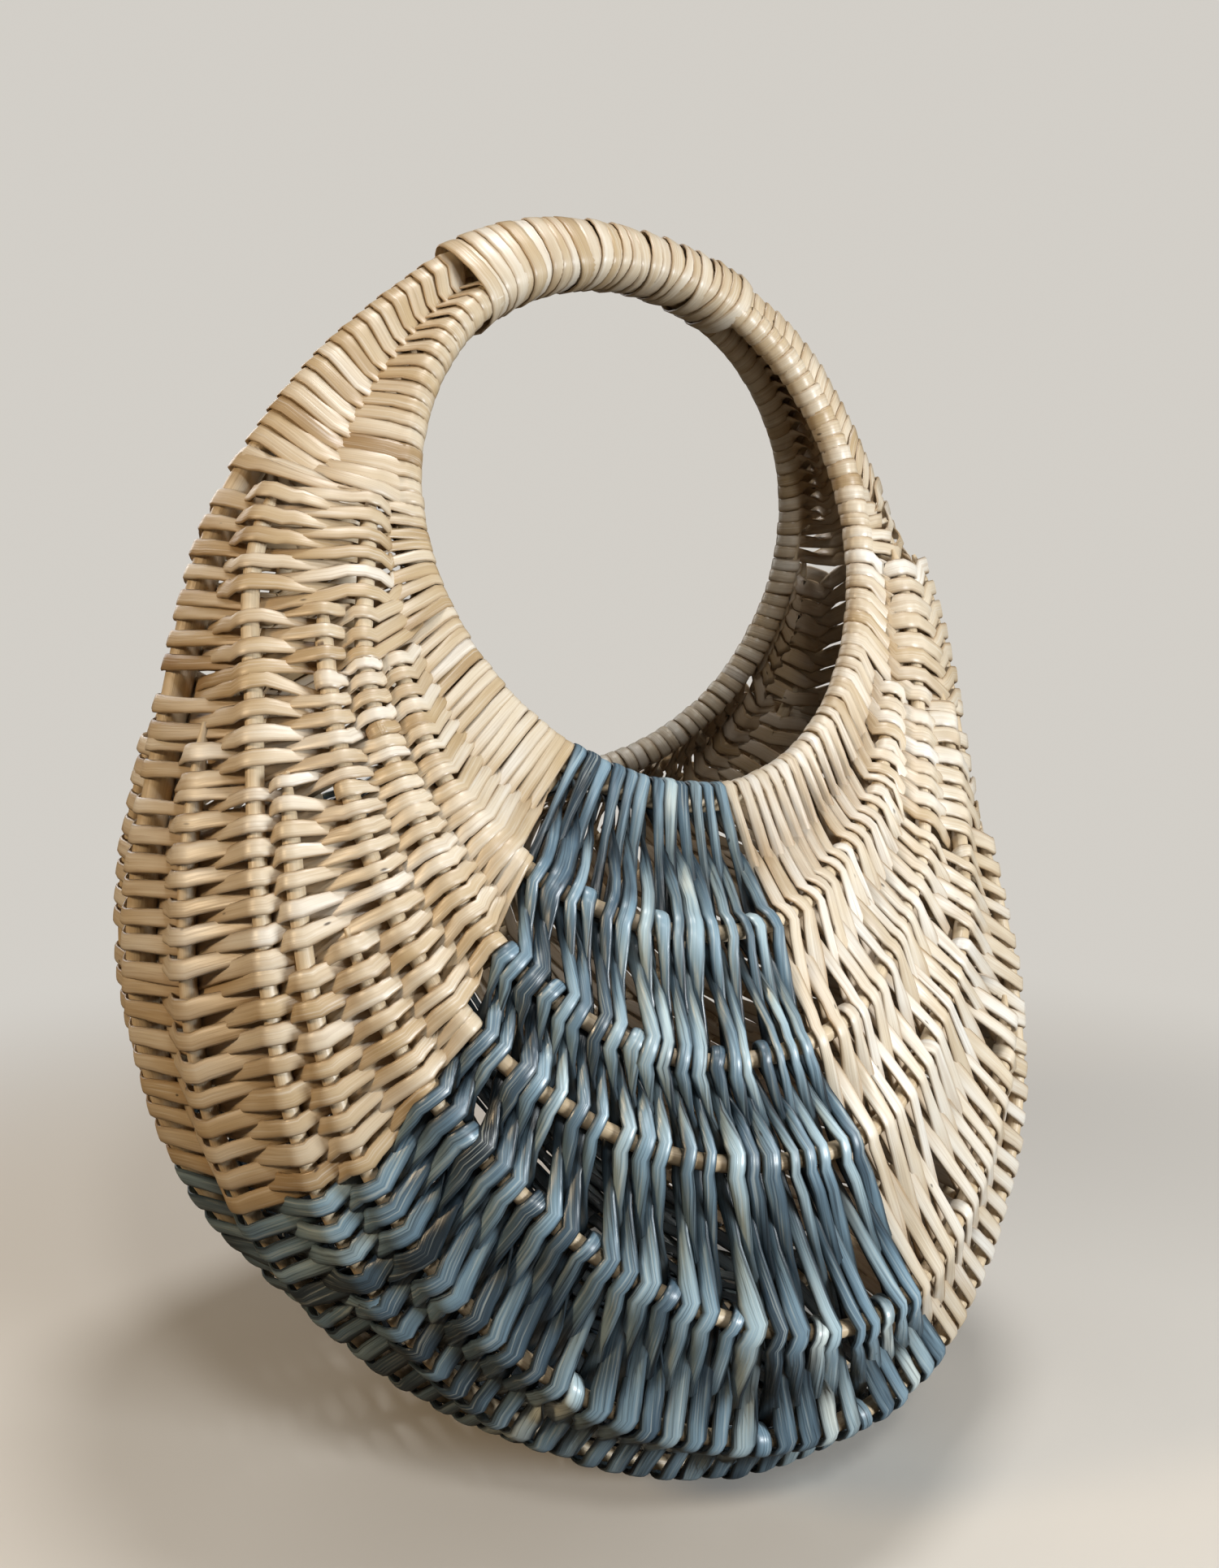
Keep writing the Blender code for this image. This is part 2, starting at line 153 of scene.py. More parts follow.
print("keel at its lowest:", np.round(form(180, 1), 4), "front rim there:", np.round(form(180, 0), 4))

# %% [markdown]
# The rods
#
# A rod is one hoop or one rib: a line of constant or slowly changing share. The hoops go all the
# way round. Each rib starts and ends at a point, between two rows, where the weaver pushed it in.
# A table of shares at a few turns, with a smooth curve through them, follows the photo closely.

# %% Hoops and ribs as lines on the wall
FIRST_ROW_TURN = 96
ROW_TURN = 3
RIM_ROD_RADIUS = 0.005
KEEL_ROD_RADIUS = 0.0055
RIB_RADIUS = 0.0031
RIB_TURNS = (92, 105, 121, 135, 150, 165, 180, 200, 225, 250, 274)
RIB_SHARES = (
    (0.27, 0.27, 0.275, 0.292, 0.27, 0.24, 0.195, 0.15, 0.15, 0.16, 0.16),
    (0.22, 0.27, 0.355, 0.36, 0.37, 0.36, 0.31, 0.26, 0.26, 0.28, 0.27),
    (0.40, 0.41, 0.43, 0.425, 0.43, 0.43, 0.40, 0.36, 0.37, 0.41, 0.41),
    (0.49, 0.49, 0.485, 0.485, 0.495, 0.515, 0.52, 0.49, 0.485, 0.49, 0.49),
    (0.54, 0.54, 0.54, 0.55, 0.61, 0.665, 0.66, 0.63, 0.60, 0.57, 0.57),
    (0.65, 0.67, 0.625, 0.62, 0.695, 0.79, 0.79, 0.76, 0.73, 0.69, 0.66),
    (0.78, 0.78, 0.79, 0.80, 0.84, 0.88, 0.89, 0.88, 0.85, 0.81, 0.80),
)
RIB_FIRST_ROWS = (8, 0, 5, 14, 10, 0, 8)
RIB_LAST_ROWS = (50, 60, 52, 41, 47, 60, 49)
WHOLE = 360


class Rod:
    def __init__(self, name, radius, shares, back, first, last):
        self.name, self.radius, self.back = name, radius, back
        self.shares, self.first, self.last = shares, first, last

    def share_at(self, turn):
        if np.isscalar(self.shares):
            share = np.full(np.shape(turn), float(self.shares))
        else:
            share = through(turn, RIB_TURNS, self.shares)
        return 2 - share if self.back else share

    def point(self, turn):
        return form(turn, self.share_at(turn))

    def way(self, turn, step=0.5):
        return unit(self.point(np.add(turn, step)) - self.point(np.subtract(turn, step)))


rods = [Rod("front_rim_hoop", RIM_ROD_RADIUS, 0, False, -WHOLE, 2 * WHOLE)]
for number, shares in enumerate(RIB_SHARES):
    ends = [FIRST_ROW_TURN + ROW_TURN * rows[number] for rows in (RIB_FIRST_ROWS, RIB_LAST_ROWS)]
    rods.append(Rod(f"front_rib_{number + 1}", RIB_RADIUS, shares, False, *ends))
    rods.append(Rod(f"back_rib_{number + 1}", RIB_RADIUS, shares, True, *ends))
rods.append(Rod("keel_hoop", KEEL_ROD_RADIUS, 1, False, -WHOLE, 2 * WHOLE))
rods.append(Rod("back_rim_hoop", RIM_ROD_RADIUS, 0, True, -WHOLE, 2 * WHOLE))
print("rods:", len(rods), "belly depth at rib 4:", np.round(rods[7].point(180), 3))

# %% [markdown]
# Lanes for the rows
#
# The wall is longer round the belly than round the rim, so a weaver adds short rows, which turn
# back round a rib. Rows are planned in pairs, one skein out and back. Each region has a number
# of pairs at every level between rim and keel, and a golden-ratio order spreads the short ones
# evenly. A lane then runs at an even pitch between the region's borders.

# %% Pairs of rows, region by region
LEVEL_SHARES = (0, 0.2, 0.36, 0.5, 0.66, 0.85, 1)
LEVEL_STARTS = (0, 0.12, 0.29, 0.44, 0.53, 0.72, 0.95)
BORDER_SHARES = (0, 0.06, 0.11, 0.2, 0.31, 0.4, 0.5, 0.66, 0.8, 1)
BORDER_TURNS = {
    "handle_left": (44.5, 45, 45.5, 46, 46, 46, 45.5, 45, 44.5, 43.5),
    "ear_left": (96, 95.5, 95, 94.5, 94, 93.5, 92, 91, 90, 88.5),
    "blue_left": (155, 152.5, 150, 147.5, 147, 149, 149, 148.5, 147.5, 147),
    "blue_right": (193, 186, 181, 178, 178, 182, 188, 194, 197, 200),
    "ear_right": (284, 284, 284, 284.5, 285, 286, 287, 288, 289, 290),
    "handle_right": (341, 341, 341, 341, 341, 341, 341, 341, 341, 341),
}
REGIONS = (
    ("left_ear", "handle_left", "ear_left", (16, 16, 16, 16, 16, 16, 16), 1),
    ("blue", "blue_left", "blue_right", (12, 15, 20, 27, 30, 31, 31), 1),
    ("natural_right", "blue_right", "ear_right", (30, 33, 37, 39, 39, 39, 39), 0.6),
    ("right_ear", "ear_right", "handle_right", (18, 18, 18, 18, 18, 18, 18), 1),
)
GOLDEN = (math.sqrt(5) - 1) / 2
LANE_STEPS = 40
ACROSS_STEPS = 80
PAIR_PART = 0.25
lane_grid = np.linspace(0, 1, LANE_STEPS + 1)


def ranks_at_levels(counts, within):
    """For each pair, its place from 0 to 1 across the region at each level, and its level.

    Short rows are spread over a share of the region, beginning at its first border.
    """
    total = counts[-1]
    always = np.arange(total) >= within * total
    order = np.argsort(np.argsort((np.arange(total) * GOLDEN + 0.5) % 1 - always))
    level = np.array([next(k for k, n in enumerate(counts) if order[p] < n) for p in range(total)])
    places = np.zeros((total, len(counts)))
    for k, n in enumerate(counts):
        alive = level <= k
        before = np.cumsum(alive) - alive
        places[:, k] = (before + np.where(alive, 0.5, 0)) / n
    return places, level


def across_region(left, right, share):
    """Turns between a region's borders at a share, and the length of wall up to each."""
    start = through(share, BORDER_SHARES, BORDER_TURNS[left])
    end = through(share, BORDER_SHARES, BORDER_TURNS[right])
    turns = np.linspace(start, end, ACROSS_STEPS)
    steps = np.linalg.norm(np.diff(form(turns, share), axis=0), axis=1)
    return turns, np.append(0, np.cumsum(steps))


def woven_pairs(lanes, starts, ends, name):
    """Adds a region's pairs: two lanes each, and the shares between which the pair is woven."""
    for first, second, start, end in zip(*lanes, starts, ends):
        lane_table.extend((first, second))
        pair_spans.append((start, end))
        regions.append(name)


lane_table, pair_spans, regions = [], [], []
for name, left, right, counts, within in REGIONS:
    places, level = ranks_at_levels(counts, within)
    lanes = np.zeros((2, len(places), LANE_STEPS + 1))
    for k, share in enumerate(lane_grid):
        turns, lengths = across_region(left, right, share)
        for half, part in enumerate((-PAIR_PART, PAIR_PART)):
            moved = places + part / np.array(counts) * (level[:, None] <= np.arange(len(counts)))
            place = [np.interp(share, LEVEL_SHARES, row) for row in moved]
            lanes[half, :, k] = np.interp(place, lengths / lengths[-1], turns)
    woven_pairs(lanes, np.array(LEVEL_STARTS)[level], np.ones(len(places)), name)
print("pairs so far:", {name: regions.count(name) for name in dict.fromkeys(regions)})

# %% [markdown]
# The level rows on the left
#
# On the left the rows lie level as the basket stands, and only near the rim do they bend up to
# it. Twelve of them were followed in the photo, and the others lie between: at each share a
# smooth curve is fitted through the followed rows, so no row wavers by itself. Low rows end at
# the blue, stepwise. Three more pairs are laid in near the rim and turn back at a middle rib, so
# that the rim is closely covered.

# %% Lanes on the left
FOLLOWED_SHARES = (0, 0.1, 0.2, 0.36, 0.5, 0.66, 0.85, 1)
FOLLOWED_ROWS = (
    (96, 95, 94.5, 94, 92, 91, 90, 88.5),
    (101, 101, 101, 100.2, 99, 98, 97, 96.5),
    (106, 107, 106.8, 106.3, 105.8, 105.3, 104.9, 104.5),
    (118, 118, 117.6, 116.2, 114.7, 113.4, 113, 113),
    (127, 126.1, 125.1, 122.9, 120.8, 119.4, 119, 119),
    (139, 135.5, 133, 129.7, 127, 125, 124.4, 124.5),
    (147, 142, 138.1, 133.8, 131, 129.3, 128.8, 129),
    (152, 146.5, 141.5, 138.1, 134.8, 133, 132.5, 132.5),
    (157, 150, 145.5, 142.2, 138.8, 137.4, 137, 137),
    (161, 154, 150, 146.5, 143.9, 141.6, 140.7, 140.5),
    (165, 158, 154, 151, 148, 145.4, 144.2, 144),
    (168, 161, 157, 154, 150.5, 148, 146.8, 147),
)
KEEL_PAIRS = 29
START_KEEL_TURNS = (88, 138.5, 138.6, 141, 141.1, 143.3, 143.4, 145, 145.1, 148)
START_SHARES = (0, 0, 0.26, 0.26, 0.352, 0.352, 0.418, 0.418, 0.48, 0.48)
RIM_PAIRS = ((117.5, 0.45), (122.5, 0.38), (127, 0.45))
FADE = 0.05
ROOM_PAST_END = 0.6
RIM_EVEN_SHARE = 0.3
EVEN_POWER = 0.7
CURVE_DEGREE = 5
BORDER_WEIGHT = 20
LEAST_WEIGHT = 0.01

keel_turns, keel_lengths = across_region("ear_left", "blue_left", 1)
middles = (np.arange(KEEL_PAIRS) + 0.5) / KEEL_PAIRS * keel_lengths[-1]
middles = np.interp(middles, keel_lengths, keel_turns)
starts = np.interp(middles, START_KEEL_TURNS, START_SHARES)
pairs = [(turn, start, 1.0) for turn, start in zip(middles, starts)]
pairs += [(turn, 0.0, end) for turn, end in RIM_PAIRS]
keel_of, start_of, end_of = map(np.array, zip(*sorted(pairs)))
followed = np.array(FOLLOWED_ROWS)
lanes = np.zeros((2, len(pairs), LANE_STEPS + 1))
for k, share in enumerate(lane_grid):
    turns, lengths = across_region("ear_left", "blue_left", share)
    row_turns = [np.interp(share, FOLLOWED_SHARES, row) for row in followed]
    wanted = np.interp(np.interp(keel_of, followed[:, -1], row_turns), turns, lengths)
    room = np.clip((share - start_of) / FADE + 1, 0, 1)
    room = room * np.clip((end_of - share) / FADE + ROOM_PAST_END, 0, 1)
    before = np.append(0, np.cumsum(room))
    count = before[-1]
    fit_at = np.concatenate([(before[:-1] + room / 2) / count, (0, 1)])
    fit_to = np.concatenate([wanted, (0, lengths[-1])])
    weights = np.concatenate([room + LEAST_WEIGHT, (BORDER_WEIGHT, BORDER_WEIGHT)])
    curve = np.polyfit(fit_at, fit_to, CURVE_DEGREE, w=weights)
    even = (1 - np.clip(share / RIM_EVEN_SHARE, 0, 1)) ** EVEN_POWER
    for half, part in enumerate((0.5 - PAIR_PART, 0.5 + PAIR_PART)):
        place = (before[:-1] + room * part) / count
        length = (1 - even) * np.polyval(curve, place) + even * place * lengths[-1]
        lanes[half, :, k] = np.interp(length, lengths, turns)
woven_pairs(lanes, start_of, end_of, "natural_left")
lane_table = np.array(lane_table)
ROWS = len(lane_table)
print("rows:", {name: 2 * regions.count(name) for name in dict.fromkeys(regions)})

# %% [markdown]
# Where rows cross rods
#
# Every crossing needs its place, the rod's own direction there, and which side the skein passes
# on. Sides alternate along a row, and the next row takes the other side, which is plain weave.
# All rows are worked out at once for one rod, because numpy is quick on whole arrays.

# %% Crossings of every row with every rod
SETTLING_STEPS = 4
USUAL_PITCH = 0.006
NEARBY_SHARE = 0.02
SAME_SHARE = 1e-6


def lane_turn(share):
    """The turn of each row's lane at a share given for each row."""
    place = np.clip(np.minimum(share, 2 - share), 0, 1) * LANE_STEPS
    i = np.minimum(place.astype(int), LANE_STEPS - 1)
    u = place - i
    rows = np.arange(ROWS)
    return lane_table[rows, i] * (1 - u) + lane_table[rows, i + 1] * u


crossings = []
for rod in rods:
    share = rod.share_at(lane_turn(np.full(ROWS, 0.5)))
    for _ in range(SETTLING_STEPS):
        turn = lane_turn(share)
        share = rod.share_at(turn)
    hoop = rod.name.endswith("hoop")
    here = np.full(ROWS, True) if hoop else (turn > rod.first) & (turn < rod.last)
    crossings.append((turn, share, here, rod.point(turn), rod.way(turn)))
cross_turn, cross_share, cross_here, cross_point, cross_way = map(np.array, zip(*crossings))


def kept_rods(pair, back):
    """Rods that a pair is woven on, in order, with the side of its first row at each.

    A pair that stops short of the keel is woven on the front (back False) and on the back. A
    pair that would be left with only the keel is woven from rim to rim.
    """
    rows = slice(2 * pair, 2 * pair + 2)
    found = [k for k in range(len(rods)) if cross_here[k, rows].all()]
    found.sort(key=lambda k: cross_share[k, rows].sum())
    start, end = pair_spans[pair]
    low, high = (start, 2 - start) if end == 1 else (2 - end, 2 - start) if back else (start, end)
    share = cross_share[:, rows].mean(axis=1)
    kept = [i for i, k in enumerate(found) if low - SAME_SHARE <= share[k] <= high + SAME_SHARE]
    if end == 1 and len(kept) < 3:
        kept = list(range(len(found)))
    return [(found[i], 1 if i % 2 == 0 else -1) for i in kept]


pitch = np.full((len(rods), ROWS), USUAL_PITCH)
near_rim, near_keel = np.repeat(np.array(pair_spans), 2, axis=0).T
for k in range(len(rods)):
    share = np.minimum(cross_share[k], 2 - cross_share[k])
    woven = (share > near_rim - NEARBY_SHARE) & (share < near_keel + NEARBY_SHARE)
    there = np.flatnonzero(cross_here[k] & woven)
    there = there[np.argsort(cross_turn[k, there])]
    gaps = np.linalg.norm(np.diff(cross_point[k, there], axis=0), axis=1)
    pitch[k, there] = (np.append(gaps[:1], gaps) + np.append(gaps, gaps[-1:])) / 2
print("rods under pair 20:", [rods[k].name for k, side in kept_rods(20, False)])
print("row pitch at the rim, mm:", np.round(np.percentile(pitch[0], [5, 50, 95]) * 1000, 1))
print("row pitch at the keel, mm:", np.round(np.percentile(pitch[-2], [5, 50, 95]) * 1000, 1))

# %% [markdown]
# One skein out and back
#
# A skein leaves the rim on the outside, weaves across to the other rim, turns over it and comes
# back beside itself. It bends round each rod and runs straight from one to the next, as a
# stretched band does, so its line is made of arcs and their common tangents. Split willow is
# stiff, so the arcs are wider than the rods. Rows lie closer than a skein is wide, so between
# rods it tips on its edge, and beside the rim it gives half a turn so that its bark side shows
# again. That makes the thin bright edges of this weave. Near the ears the rib ends lie hidden
# under long spans, which they lift towards the wall, and on the right these droop a little too.

# %% The line of a pair of rows
ARC_STEPS = (0, 0.35, 0.65, 1)
SPAN_SHARES = (0.14, 0.34, 0.5, 0.66, 0.86)
TWIST_SHARES = (0.12, 0.26, 0.4, 0.6, 0.74, 0.88)
TURN_STEPS = 8
LEAST_GAP_SHARE = 0.96
MOST_TILT = 75
WIDTH_SHARES = (0.72, 1.22)
TIPPING_LENGTH = 0.016
BEND_ROOM = 0.4
KEEL_WIDTH_POWER = 1.5
SLOPE_SHARE = 0.02
LEAST_LOOSENESS = 0.0001
MOST_SWAY = 0.001
# Share of painted shade on a skein's underside and where it turns round to the inside.
UNDER_SHADE_SHARE = 0.6
LONG_SPAN_SHARE = 0.3
LIFT_TURNS = (68, 86, 97, 260, 276, 302)
LIFT_SHARES = (0, 0.35, 0.9, 0.9, 0.9, 0)
DROOPS = (0, 0, 0, -0.0055, -0.005, 0)


class Row:
    """One row of a pair: its crossings, and where it meets and leaves each rod."""

    def __init__(self, row, kept, look):
        rods_here = [k for k, _ in kept]
        swap = 1 if row % 2 == 0 else -1
        self.sides = np.array([side * swap for _, side in kept], float)
        self.ways = cross_way[rods_here, row]
        self.turns = cross_turn[rods_here, row]
        self.pitch = pitch[rods_here, row]
        centres = cross_point[rods_here, row]
        self.shares = shares = cross_share[rods_here, row]
        radii = np.array([rods[k].radius for k in rods_here])
        # Outward is square to the wall, which is looked at a little to both sides of the rod.
        nearer = form(self.turns, shares - SLOPE_SHARE * (shares > SLOPE_SHARE))
        further = form(self.turns, shares + SLOPE_SHARE * (shares < 2 - SLOPE_SHARE))
        self.outward = unit(np.cross(further - nearer, self.ways))
        self.along = np.cross(self.ways, self.outward)
        # The keel hoop is thicker than a rib and lies deeper, so that its back is level with theirs.
        inset = np.where(shares == 1, KEEL_ROD_RADIUS - RIB_RADIUS, 0)
        self.centres = centres - inset[:, None] * self.outward
        loose = chance.uniform(LEAST_LOOSENESS, look["looseness"], len(kept))
        self.reach = radii + look["thickness"] / 2 + loose
        sway = chance.normal(0, look["sway"], len(kept)).clip(-MOST_SWAY, MOST_SWAY)
        self.centres = self.centres + sway[:, None] * self.ways
        # A bend wider than its rod has its centre further in, so that the skein still touches.
        gaps = np.linalg.norm(np.diff(self.centres, axis=0), axis=1)
        bend = np.minimum(np.append(gaps, 0), np.append(0, gaps)) * BEND_ROOM
        bend = np.maximum(self.reach, np.minimum(bend, look["bend"]))
        self.centres = self.centres - ((bend - self.reach) * self.sides)[:, None] * self.outward
        self.reach = bend
        # From rod to rod the skein follows the line that touches both bends.
        self.arrive = np.zeros((len(kept), 3))
        self.leave = np.zeros((len(kept), 3))
        for i in range(len(kept) - 1):
            way = unit(self.ways[i] + self.ways[i + 1])
            gap = self.centres[i + 1] - self.centres[i]
            gap = gap - way * np.dot(gap, way)
            distance = np.linalg.norm(gap)
            ahead = gap / distance
            out = np.cross(ahead, way)
            out = out * np.sign(np.dot(out, self.outward[i] + self.outward[i + 1]))
            sine = min((self.reach[i] + self.reach[i + 1]) / distance, LEAST_GAP_SHARE)
            facing = self.sides[i] * out * math.sqrt(1 - sine * sine) + ahead * sine
            self.leave[i], self.arrive[i + 1] = facing, -facing

    def angle(self, i, facing):
        """How far a direction at rod i has turned past its outermost or innermost point."""
        side = self.sides[i]
        return math.atan2(np.dot(facing, self.along[i]), side * np.dot(facing, self.outward[i]))

    def facing(self, i, angle):
        """The direction that has turned by an angle at rod i."""
        side = self.sides[i]
        return side * self.outward[i] * math.cos(angle) + self.along[i] * math.sin(angle)


def lift_of_span(row, i, u):
    """How far a long span is lifted towards the wall, where rib ends lie hidden under it."""
    first, second = row.shares[i : i + 2]
    if second - first < LONG_SPAN_SHARE:
        return 0
    turn = row.turns[i] * (1 - u) + row.turns[i + 1] * u
    wall = form(turn, first * (1 - u) + second * u)
    chord = form(row.turns[i], first) * (1 - u) + form(row.turns[i + 1], second) * u
    droop = np.interp(turn, LIFT_TURNS, DROOPS) * (1 - abs(2 * u - 1))
    return np.interp(turn, LIFT_TURNS, LIFT_SHARES) * (wall - chord) + droop * row.ways[i]


def row_line(row, width, look):
    """Points, face directions, twists, widths and unshaded shares along a row, from front to back. An
    unshaded share of 0 is full painted shade.
    """
    points, faces, twists, widths, unshaded_shares = [], [], [], [], []
    last = len(row.sides) - 1
    nearness = np.minimum(row.shares, 2 - row.shares) ** KEEL_WIDTH_POWER
    room = width * np.clip(2 * row.pitch / look["pair_pitch"], *WIDTH_SHARES)
    room = room * (1 + (look["keel_width"] - 1) * nearness)

    def place(point, face, twist, wide, side):
        points.append(point)
        faces.append(face)
        twists.append(twist + look["roll"])
        widths.append(wide)
        # Painted shade: the unshaded share is 1 over a rod and 0 under it.
        unshaded_shares.append((1 + side) / 2)

    tilts = np.degrees(np.arccos(np.clip(row.pitch / width, 0, 1)))
    tilts = np.clip(tilts * look["tilt"], -MOST_TILT, MOST_TILT)
    for i in range(last):
        if i > 0:
            first, second = row.angle(i, row.arrive[i]), row.angle(i, row.leave[i])
            if second < first:
                first = second = (first + second) / 2
            for u in ARC_STEPS:
                facing = row.facing(i, first + (second - first) * u)
                point = row.centres[i] + facing * row.reach[i]
                place(point, row.sides[i] * facing, 0, room[i], row.sides[i])
        start = row.centres[i] + row.leave[i] * row.reach[i]
        end = row.centres[i + 1] + row.arrive[i + 1] * row.reach[i + 1]
        turns_first = i == 0 and row.sides[0] < 0
        turns_last = i == last - 1 and row.sides[-1] < 0
        twisting = turns_first or turns_last
        way = (row.ways[i] + row.ways[i + 1]) / 2
        length = np.linalg.norm(end - start)
        for u in TWIST_SHARES if twisting else SPAN_SHARES:
            tipped = math.exp(-(((u - 0.5) / look["crossing"]) ** 2))
            twist = (tilts[i] + tilts[i + 1]) / 2 * tipped * math.sin(math.pi * u) ** 0.5
            twist *= min(1, length / TIPPING_LENGTH)
            if twisting:
                # Half a turn beside the rim: the skein comes from inside and goes over outside.
                ease = np.clip(1 - (u if turns_first else 1 - u) / look["turned_by"], 0, 1)
                twist = 180 * ease * ease * (3 - 2 * ease)
            point = start * (1 - u) + end * u + way * look["sag"] * (1 - abs(2 * u - 1))
            point = point + lift_of_span(row, i, u)
            wide = room[i] * (1 - u) + room[i + 1] * u
            # Along a span the painted shade changes from one rod's side to the next.
            side = row.sides[i] * math.cos(math.pi * u)
            place(point, row.sides[i] * row.leave[i], twist, wide, side)
    return points, faces, twists, widths, unshaded_shares


def turn_round(row, other, i, width, look):
    """The skein round a rim or a rib, from a row of a pair to the other one."""
    least, most = WIDTH_SHARES
    wide = np.clip(look["lap"] * (row.pitch[i] + other.pitch[i]), least * width, most * width)
    points, faces = [], []
    over = -row.along[0] if i == 0 else row.along[-1]
    start, end = (row.leave[0], other.leave[0]) if i == 0 else (row.arrive[-1], other.arrive[-1])
    outward = unit(row.outward[i] + other.outward[i])
    first = math.atan2(np.dot(start, over), np.dot(start, outward))
    second = math.atan2(np.dot(end, over), np.dot(end, outward)) % (2 * math.pi)
    for step in range(TURN_STEPS + 1):
        u = step / TURN_STEPS
        angle = first + (second - first) * u
        facing = outward * math.cos(angle) + over * math.sin(angle)
        centre = row.centres[i] * (1 - u) + other.centres[i] * u
        reach = row.reach[i] * (1 - u) + other.reach[i] * u
        points.append(centre + facing * reach)
        faces.append(facing)
    rolls = [look["roll"] * math.cos(math.pi * k / TURN_STEPS) for k in range(TURN_STEPS + 1)]
    # Painted shade: a skein turning over a rim darkens as it goes to the inside.
    unshaded_shares = [1 - UNDER_SHADE_SHARE * step / TURN_STEPS for step in range(TURN_STEPS + 1)]
    return points, faces, rolls, [wide] * len(points), unshaded_shares


def pair_line(pair, kept, width, look):
    """The closed line of one skein through both rows of a pair."""
    rows = [Row(2 * pair, kept, look), Row(2 * pair + 1, kept, look)]
    outer, inner = rows if rows[0].sides[0] > 0 else rows[::-1]
    out = row_line(outer, width, look)
    if outer.sides[-1] > 0:
        over_back = turn_round(outer, inner, -1, width, look)
    else:
        ring, faces, rolls, wide, unshaded_shares = turn_round(inner, outer, -1, width, look)
        over_back = ring[::-1], faces[::-1], rolls, wide, unshaded_shares[::-1]
    home = row_line(inner, width, look)
    home = [part[::-1] for part in home]
    home[2] = [-twist for twist in home[2]]
    over_front = [part[::-1] for part in turn_round(outer, inner, 0, width, look)]
    parts = [out, over_back, home, over_front]
    joined = (np.concatenate([part[k] for part in parts]) for k in range(5))
    seam = len(out[0]) + 2
    return [np.roll(values, -seam, axis=0) for values in joined]


def line_frames(points, faces, twists, closed):
    """Unit vectors across the skein and out of its face at each point, and the length so far."""
    if closed:
        tangent = unit(np.roll(points, -1, axis=0) - np.roll(points, 1, axis=0))
    else:
        tangent = unit(np.gradient(points, axis=0))
    face = unit(faces - (faces * tangent).sum(axis=1, keepdims=True) * tangent)
    across = np.cross(tangent, face)
    angle = np.radians(twists)[:, None]
    turned = face * np.cos(angle) + across * np.sin(angle)
    steps = np.linalg.norm(np.diff(points, axis=0), axis=1)
    return np.cross(tangent, turned), turned, np.append(0, np.cumsum(steps))


# %% [markdown]
# Node trees written as sums
#
# Materials and Geometry Nodes are both networks of small sums. Wiring them by hand takes many
# lines, so a small class stands for a socket: its operators add Math nodes, and one method adds
# any other node. Short methods name the few nodes that are used again and again. The networks
# below then read like formulas.

# %% A socket that takes part in sums


class Link:
    def __init__(self, tree, socket=None):
        self.tree, self.socket = tree, socket

    def node(self, kind, settings=None, values=None):
        """Adds a node, with its settings first, then its inputs; gives its usable outputs."""
        made = self.tree.nodes.new(kind)
        for name, value in (settings or {}).items():
            if name == "stops":
                ramp = made.color_ramp.elements
                while len(ramp) < len(value):
                    ramp.new(1)
                for stop, (position, colour) in zip(ramp, value):
                    stop.position, stop.color = position, (*colour, 1)
            else:
                setattr(made, name, value)
        for name, value in (values or {}).items():
            if isinstance(name, int):
                socket = made.inputs[name]
            else:
                socket = next(s for s in made.inputs if s.name == name and s.enabled)
            if isinstance(value, Link):
                self.tree.links.new(value.socket, socket)
            else:
                socket.default_value = value
        return [Link(self.tree, socket) for socket in made.outputs if socket.enabled]

    def sum(self, operation, *values):
        return self.node("ShaderNodeMath", {"operation": operation}, dict(enumerate(values)))[0]

    def __add__(self, other):
        return self.sum("ADD", self, other)

    __radd__ = __add__

    def __sub__(self, other):
        return self.sum("SUBTRACT", self, other)

    def __rsub__(self, other):
        return self.sum("SUBTRACT", other, self)

    def __mul__(self, other):
        return self.sum("MULTIPLY", self, other)

    __rmul__ = __mul__

    def __truediv__(self, other):
        return self.sum("DIVIDE", self, other)

    def __pow__(self, other):
        return self.sum("POWER", self, other)

    def ramp(self, low, high):
        """0 below low, 1 above high, eased between them."""
        ease = {"interpolation_type": "SMOOTHSTEP"}
        limits = {"Value": self, "From Min": low, "From Max": high}
        return self.node("ShaderNodeMapRange", ease, limits)[0]

    def size(self):
        return self.sum("ABSOLUTE", self)

    def mixed(self, first, second):
        """Two colours, mixed by this value."""
        kind = {"data_type": "RGBA"}
        return self.node("ShaderNodeMix", kind, {0: self, "A": first, "B": second})[0]

    def vector(self, x, y, z):
        return self.node("ShaderNodeCombineXYZ", {}, {0: x, 1: y, 2: z})[0]

    def parts(self):
        return self.node("ShaderNodeSeparateXYZ", {}, {0: self})

    def length(self):
        return self.node("ShaderNodeVectorMath", {"operation": "LENGTH"}, {0: self})[0]


# %% [markdown]
# Materials
#
# Split willow is silky and streaked along its length, with a cloudy change of tone and a few dark
# specks where twigs were. Painted shade darkens the edges of each skein, as dark lines between
# strands, and a browner painted shade lies where a skein passes under a rod and on the inner side
# of skeins and rods. Each swept piece carries its own coordinates along and across the
# skein, so streaks follow every bend. A flat colour would lose the satin look. Noise is counted
# in waves a metre, along and across.

# %% Willow finishes
FINE_FIBRES = (26, 1500)
BROAD_STREAKS = (13, 260)
CLOUDS = (20, 60)
SPECK_CELLS = (110, 300)
ROUGHNESS = 0.56
SHEEN = {"Coat Weight": 0.12, "Coat Roughness": 0.38, "Specular IOR Level": 0.7}


